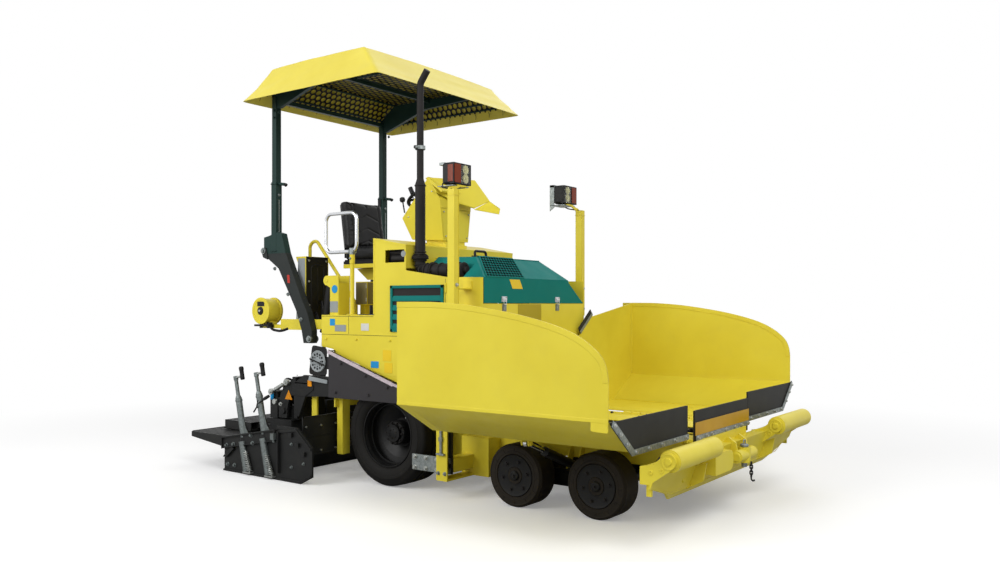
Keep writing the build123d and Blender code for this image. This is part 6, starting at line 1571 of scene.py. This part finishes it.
def make_extension_ironwork():
    """The sloping bar, crank spindles and springs outside each end plate."""
    face = END_FACE
    beam = [slab_y([(-1.553, 0.189), (-0.875, 0.311), (-0.875, 0.403), (-1.553, 0.284)], face + 0.001,
                   face + 0.014), slab_y([(-1.553, 0.278), (-0.875, 0.397), (-0.875, 0.404), (-1.553, 0.285)],
                                         face, face + 0.031),
            slab_y([(-1.553, 0.189), (-0.875, 0.311), (-0.875, 0.318), (-1.553, 0.196)], face, face + 0.028),
            bar((-0.879, face, 0.311), (-0.872, face + 0.03, 0.403)),
            bar((-1.556, face, 0.187), (-1.549, face + 0.03, 0.284)),
            slab_y([(-0.87, 0.392), (-0.645, 0.424), (-0.475, 0.287), (-0.47, 0.27), (-0.64, 0.405),
                    (-0.87, 0.372)], face, face + 0.012), bar((-0.85, face, 0.06), (-0.838, face + 0.026, 0.388)),
            slab_y([(-1.556, 0.004), (-0.6, 0.004), (-0.47, 0.07), (-0.47, 0.085), (-0.604, 0.02),
                    (-1.556, 0.018)], face, face + 0.01),
            slab_y([(-1.548, 0.12), (-1.5, 0.12), (-1.4, 0.2), (-1.43, 0.212)], face, face + 0.022)]
    for x in (-0.7, -0.62, -0.55):
        beam.append(bar((x - 0.016, face, 0.355 - 0.9 * abs(x + 0.7)), (x + 0.016, face + 0.02,
                                                                       0.39 - 0.9 * abs(x + 0.7))))
    pair("end_plate_bar", beam, SCREED, SLIDE, bevel=0.0015)
    metal, arms, grips, springs = [], [], [], []
    middle = CRANK_PLANE
    for crank in CRANKS:
        low_x, low_z, high_x, high_z = crank
        foot, lower_top = on_crank(crank, 0.03, 0.018), on_crank(crank, low_z - 0.1, 0.022)
        collar, head = on_crank(crank, low_z + 0.25), on_crank(crank, high_z)
        metal += [cyl(foot, lower_top, 0.056, sides=28),
                  cyl(on_crank(crank, low_z - 0.075), collar, 0.052, sides=28),
                  cyl(collar, on_crank(crank, low_z + 0.27), 0.05, 0.036),
                  cyl(collar, head, 0.031, sides=20),
                  cyl(on_crank(crank, low_z + 0.22), on_crank(crank, low_z + 0.238), 0.058, sides=28),
                  cyl(on_crank(crank, high_z - 0.02), on_crank(crank, high_z + 0.012), 0.038, sides=20),
                  slab_y([(low_x - 0.004, low_z - 0.045), (low_x + 0.08, low_z - 0.032),
                          (low_x + 0.048, low_z + 0.01), (low_x + 0.014, low_z + 0.1)], middle + 0.003,
                         middle + 0.01)]
        arms.append(tube([head, (high_x + 0.066, middle, high_z + 0.014),
                          (high_x + 0.09, middle, high_z + 0.018), (high_x + 0.086, middle, high_z + 0.04)],
                         0.019, 0.02))
        grip = spun([(0.001, 0.0), (0.015, 0.0), (0.019, 0.01), (0.0175, 0.022), (0.0175, 0.075), (0.02, 0.088),
                     (0.019, 0.104), (0.012, 0.11), (0.001, 0.11)],
                    (high_x + 0.091, middle, high_z - 0.012), (-0.022, 0, 0.102), steps=20)
        grips.append(grip)
        spring_low = V((foot.x + 0.048, middle + 0.026, 0.035))
        spring_high = V((lower_top.x + 0.046, middle + 0.026, 0.19))
        springs += [helix(spring_low, spring_high, 0.038, 0.007, 11),
                    helix(spring_low + V((0.01, 0.012, 0.015)), spring_high + V((0.012, 0.006, -0.01)), 0.026,
                          0.006, 9), bar((foot.x - 0.02, face, 0.018), (foot.x + 0.075, middle + 0.045, 0.03)),
                    cyl(spring_low - V((0, 0, 0.005)), spring_high + V((0, 0, 0.01)), 0.01)]
    metal += [bar((-0.906, face, 0.322), (-0.866, face + 0.045, 0.372)),
              bar((-0.898, face, 0.3), (-0.878, face + 0.03, 0.33))]
    metal += bolts([(-1.5, face + 0.014, 0.22), (-1.41, face + 0.014, 0.236), (-1.5, face + 0.001, 0.06),
                    (-1.41, face + 0.001, 0.06), (-1.16, face + 0.014, 0.268), (-1.18, face + 0.014, 0.33)],
                   LEFT, 0.024)
    metal += bolts([(-0.7, face + 0.001, 0.12), (-0.56, face + 0.001, 0.16), (-0.7, face + 0.001, 0.3)],
                   LEFT, 0.018)
    # the crank sleeves take the darker zinc copy, painted shade
    pair("crank_sleeves", metal, SHADE_DARKENED_ZINC, SLIDE, bevel=0.0008)
    pair("crank_arms", arms, BRIGHT_ZINC, SLIDE)
    pair("crank_grips", grips, PLASTIC, SLIDE, angle=50)
    pair("end_plate_springs", springs, BRIGHT_ZINC, SLIDE, angle=50)
    lever = [tube([(-1.15, face + 0.012, 0.52), (-1.08, face + 0.012, 0.6), (-1.01, face + 0.012, 0.64)],
                  0.012, 0.02),
             spun([(0.001, 0), (0.011, 0), (0.014, 0.03), (0.012, 0.075), (0.001, 0.078)],
                  (-1.03, face + 0.012, 0.63), (0.9, 0, 0.42), steps=16),
             tube([(-1.1, face + 0.01, 0.56), (-1.085, face + 0.035, 0.57), (-1.06, face + 0.04, 0.625)],
                  0.009, 0.01)]
    pair("latch_lever", lever, BLACK, SLIDE)


def make_tunnel_plate():
    """Flanges and corner bolts of the plate in front of each sliding screed, and its step's treads."""
    parts = []
    x = -0.637
    for y_low, y_high, z_low, z_high in ((0.574, 0.945, 0.499, 0.511), (0.574, 0.945, 0.197, 0.209),
                                         (0.574, 0.586, 0.197, 0.511), (0.933, 0.945, 0.197, 0.511)):
        parts.append(bar((x - 0.001, y_low, z_low), (x + 0.004, y_high, z_high)))
    parts.append(bar((x - 0.001, 0.64, 0.345), (x + 0.003, 0.9, 0.352)))
    pair("tunnel_frame", parts, SCREED, SLIDE, bevel=0.001)
    heads = bolts([(x, y, z) for y in (0.605, 0.76, 0.914) for z in (0.232, 0.43)], FORWARD, 0.018, False)
    pair("tunnel_bolts", heads, BRIGHT_ZINC, SLIDE)
    # raised bars of the treads, 60 mm apart
    treads = [bar((-2.026 + n * 0.06, 0.262, 0.2865), (-2.012 + n * 0.06, 0.976, 0.2895)) for n in range(8)]
    treads.append(bar((-2.034, 0.262, 0.2865), (-2.026, 0.976, 0.292)))
    pair("outer_step_treads", treads, SCREED, SLIDE, bevel=0.0008)


def make_walkway():
    """The box-like middle step with its folded edge and raised treads."""
    low, half = 0.295, 0.722
    parts = [bar((-1.922, -half, low + 0.001), (-1.914, half, low + 0.075)),
             bar((-1.922, -half, low + 0.068), (-1.56, half, low + 0.075))]
    for y in (-half, half - 0.008):
        parts.append(slab_y([(-1.92, low + 0.002), (-1.56, low + 0.002), (-1.56, low + 0.072),
                             (-1.92, low + 0.072)], y, y + 0.008))
    for number in range(6):
        x = -1.9 + number * 0.058
        parts.append(bar((x, -half + 0.03, low + 0.0745), (x + 0.014, half - 0.03, low + 0.078)))
    piece("middle_step", parts, SCREED, "screed", bevel=0.001)


def make_screed_machinery():
    """What stands on the fixed screed: burner boxes, tamper drive, gas valves, hoses and the side arms."""
    boxes = []
    for low, high in (((-1.27, -0.3, 0.43), (-1.06, 0.3, 0.56)),
                      ((-1.24, 0.33, 0.43), (-1.08, 0.64, 0.52)),
                      ((-1.29, 0.36, 0.515), (-1.2, 0.6, 0.59)),
                      ((-1.2, -0.12, 0.555), (-1.08, 0.12, 0.64)),
                      ((-1.275, -0.66, 0.43), (-1.08, -0.33, 0.535)),
                      ((-1.33, -0.7, 0.43), (-1.235, -0.56, 0.66)),
                      ((-1.23, -0.7, 0.53), (-1.16, -0.6, 0.61))):
        boxes.append(bar(low, high))
    for y in (-0.5, -0.2, 0.2, 0.5):
        boxes += [cyl((-1.18, y - 0.07, 0.59), (-1.18, y + 0.07, 0.59), 0.11),
                  cyl((-1.18, y - 0.085, 0.59), (-1.18, y - 0.07, 0.59), 0.06)]
    for y in (-0.69, 0.69):
        side = 1 if y > 0 else -1
        # the curved arm that comes down from the tow arm to the sliding screed
        curve = [(-1.0, 0.79), (-1.06, 0.76), (-1.13, 0.715), (-1.19, 0.65), (-1.215, 0.56), (-1.215, 0.44),
                 (-1.11, 0.44), (-1.105, 0.53), (-1.085, 0.59), (-1.045, 0.64), (-1.0, 0.67)]
        boxes += [slab_y(curve, y - 0.014, y + 0.014),
                  cyl((-1.15, y - side * 0.014, 0.5), (-1.15, y + side * 0.03, 0.5), 0.052),
                  bar((-1.06, min(y, y - side * 0.16), 0.64), (-1.0, max(y, y - side * 0.16), 0.79))]
    piece("screed_boxes", boxes, SCREED, "screed", bevel=0.003)
    pipes = []
    for start, middle, end in (((-1.25, -0.62, 0.66), (-1.32, -0.55, 0.78), (-1.12, -0.38, 0.6)),
                               ((-1.18, -0.4, 0.6), (-1.22, -0.2, 0.74), (-1.16, 0.02, 0.64)),
                               ((-1.18, 0.22, 0.6), (-1.26, 0.34, 0.76), (-1.22, 0.52, 0.59)),
                               ((-1.1, -0.64, 0.53), (-1.03, -0.6, 0.64), (-1.06, -0.42, 0.54)),
                               ((-1.24, 0.46, 0.59), (-1.3, 0.6, 0.7), (-1.2, 0.66, 0.56)),
                               ((-1.31, -0.64, 0.66), (-1.36, -0.5, 0.72), (-1.2, -0.2, 0.56))):
        pipes += [tube([start, middle, end], 0.02, 0.12),
                  tube([V(start) + V((0.02, 0.03, -0.02)), V(middle) + V((0.03, 0.02, -0.04)),
                        V(end) + V((0.02, 0.03, -0.01))], 0.014, 0.12)]
    piece("screed_hoses", pipes, HOSE, "screed", angle=60)
    links = []
    for y in (-0.72, 0.72):
        # turnbuckle between the arm and the sliding screed's height adjuster
        start, end = V((-1.29, y, 0.655)), V((-1.095, y, 0.745))
        way = (end - start).normalized()
        links += [cyl(start, end, 0.018),
                  cyl(start + way * 0.055, end - way * 0.055, 0.036, sides=6)]
        for eye in (start, end):
            for half, across in ((0.013, 0.052), (0.024, 0.022)):
                links.append(cyl(eye - V((0, half, 0)), eye + V((0, half, 0)), across))
        links += bolts([(-1.15, y + (0.016 if y > 0 else -0.016), 0.56)], (0, y, 0), 0.022)
    links += bolts([(-1.285, y, 0.15) for y in (-0.6, -0.3, 0.0, 0.3, 0.6)], (-1, 0, 0), 0.02)
    links.append(cyl((-1.24, -0.715, 0.575), (-1.24, -0.735, 0.575), 0.045))
    piece("screed_links", links, BRIGHT_ZINC, "screed")
    piece("gas_valve", [cyl((-1.285, -0.716, 0.6), (-1.285, -0.716, 0.66), 0.03),
                        cyl((-1.285, -0.716, 0.588), (-1.285, -0.716, 0.602), 0.02)], BLUE_PLATE, "screed",
          bevel=0.003)


def arm_edge(x):
    """The height of a tow arm's upper edge."""
    return 0.815 if x < -0.56 else 0.72 + 0.095 * max(0.0, (0.143 - x) / 0.703)


def make_arm_fittings():
    """Gussets, bolts, the lift cylinder's clevis plates and blank signs on the tow arms."""
    half = [slab_y([(-1.02, 0.64), (-0.86, 0.64), (-0.76, 0.7), (-0.76, 0.74), (-1.02, 0.74)], 0.722, 0.727),
            bar((-1.0, 0.56, 0.742), (-0.82, 0.722, 0.752)),
            slab_y([(-1.0, 0.74), (-0.82, 0.74), (-0.88, 0.815)], 0.6, 0.61),
            cyl((0.64, 0.722, 0.24), (0.64, 0.731, 0.24), 0.086)]
    for x in (-0.96, -0.7, -0.3, 0.1, 0.42):
        half.append(bar((x, 0.72, arm_edge(x) - 0.008), (x + 0.006, 0.727, arm_edge(x) - 0.002)))
    both("tow_arm_fittings", half, SCREED, body="screed", bevel=0.001)
    plates = near([slab_z(rounded([(-0.024, -0.026), (0.024, -0.026), (0.024, 0.026), (-0.024, 0.026)], 0.004), 0,
                          0.0015)])
    set_down(plates, (-0.8, -0.7285, 0.752), FORWARD, UP)
    piece("orange_sign", plates, ORANGE_PLATE, "screed")
    plates = [slab_z([(-0.046, 0), (0.046, 0), (0, 0.08)], 0, 0.0015)]
    set_down(plates, (-1.085, -0.7055, 0.6), FORWARD, UP)
    piece("triangle_sign", plates, ORANGE_PLATE, "screed")


make_extension_ironwork()
make_tunnel_plate()
make_walkway()
make_screed_machinery()
make_arm_fittings()
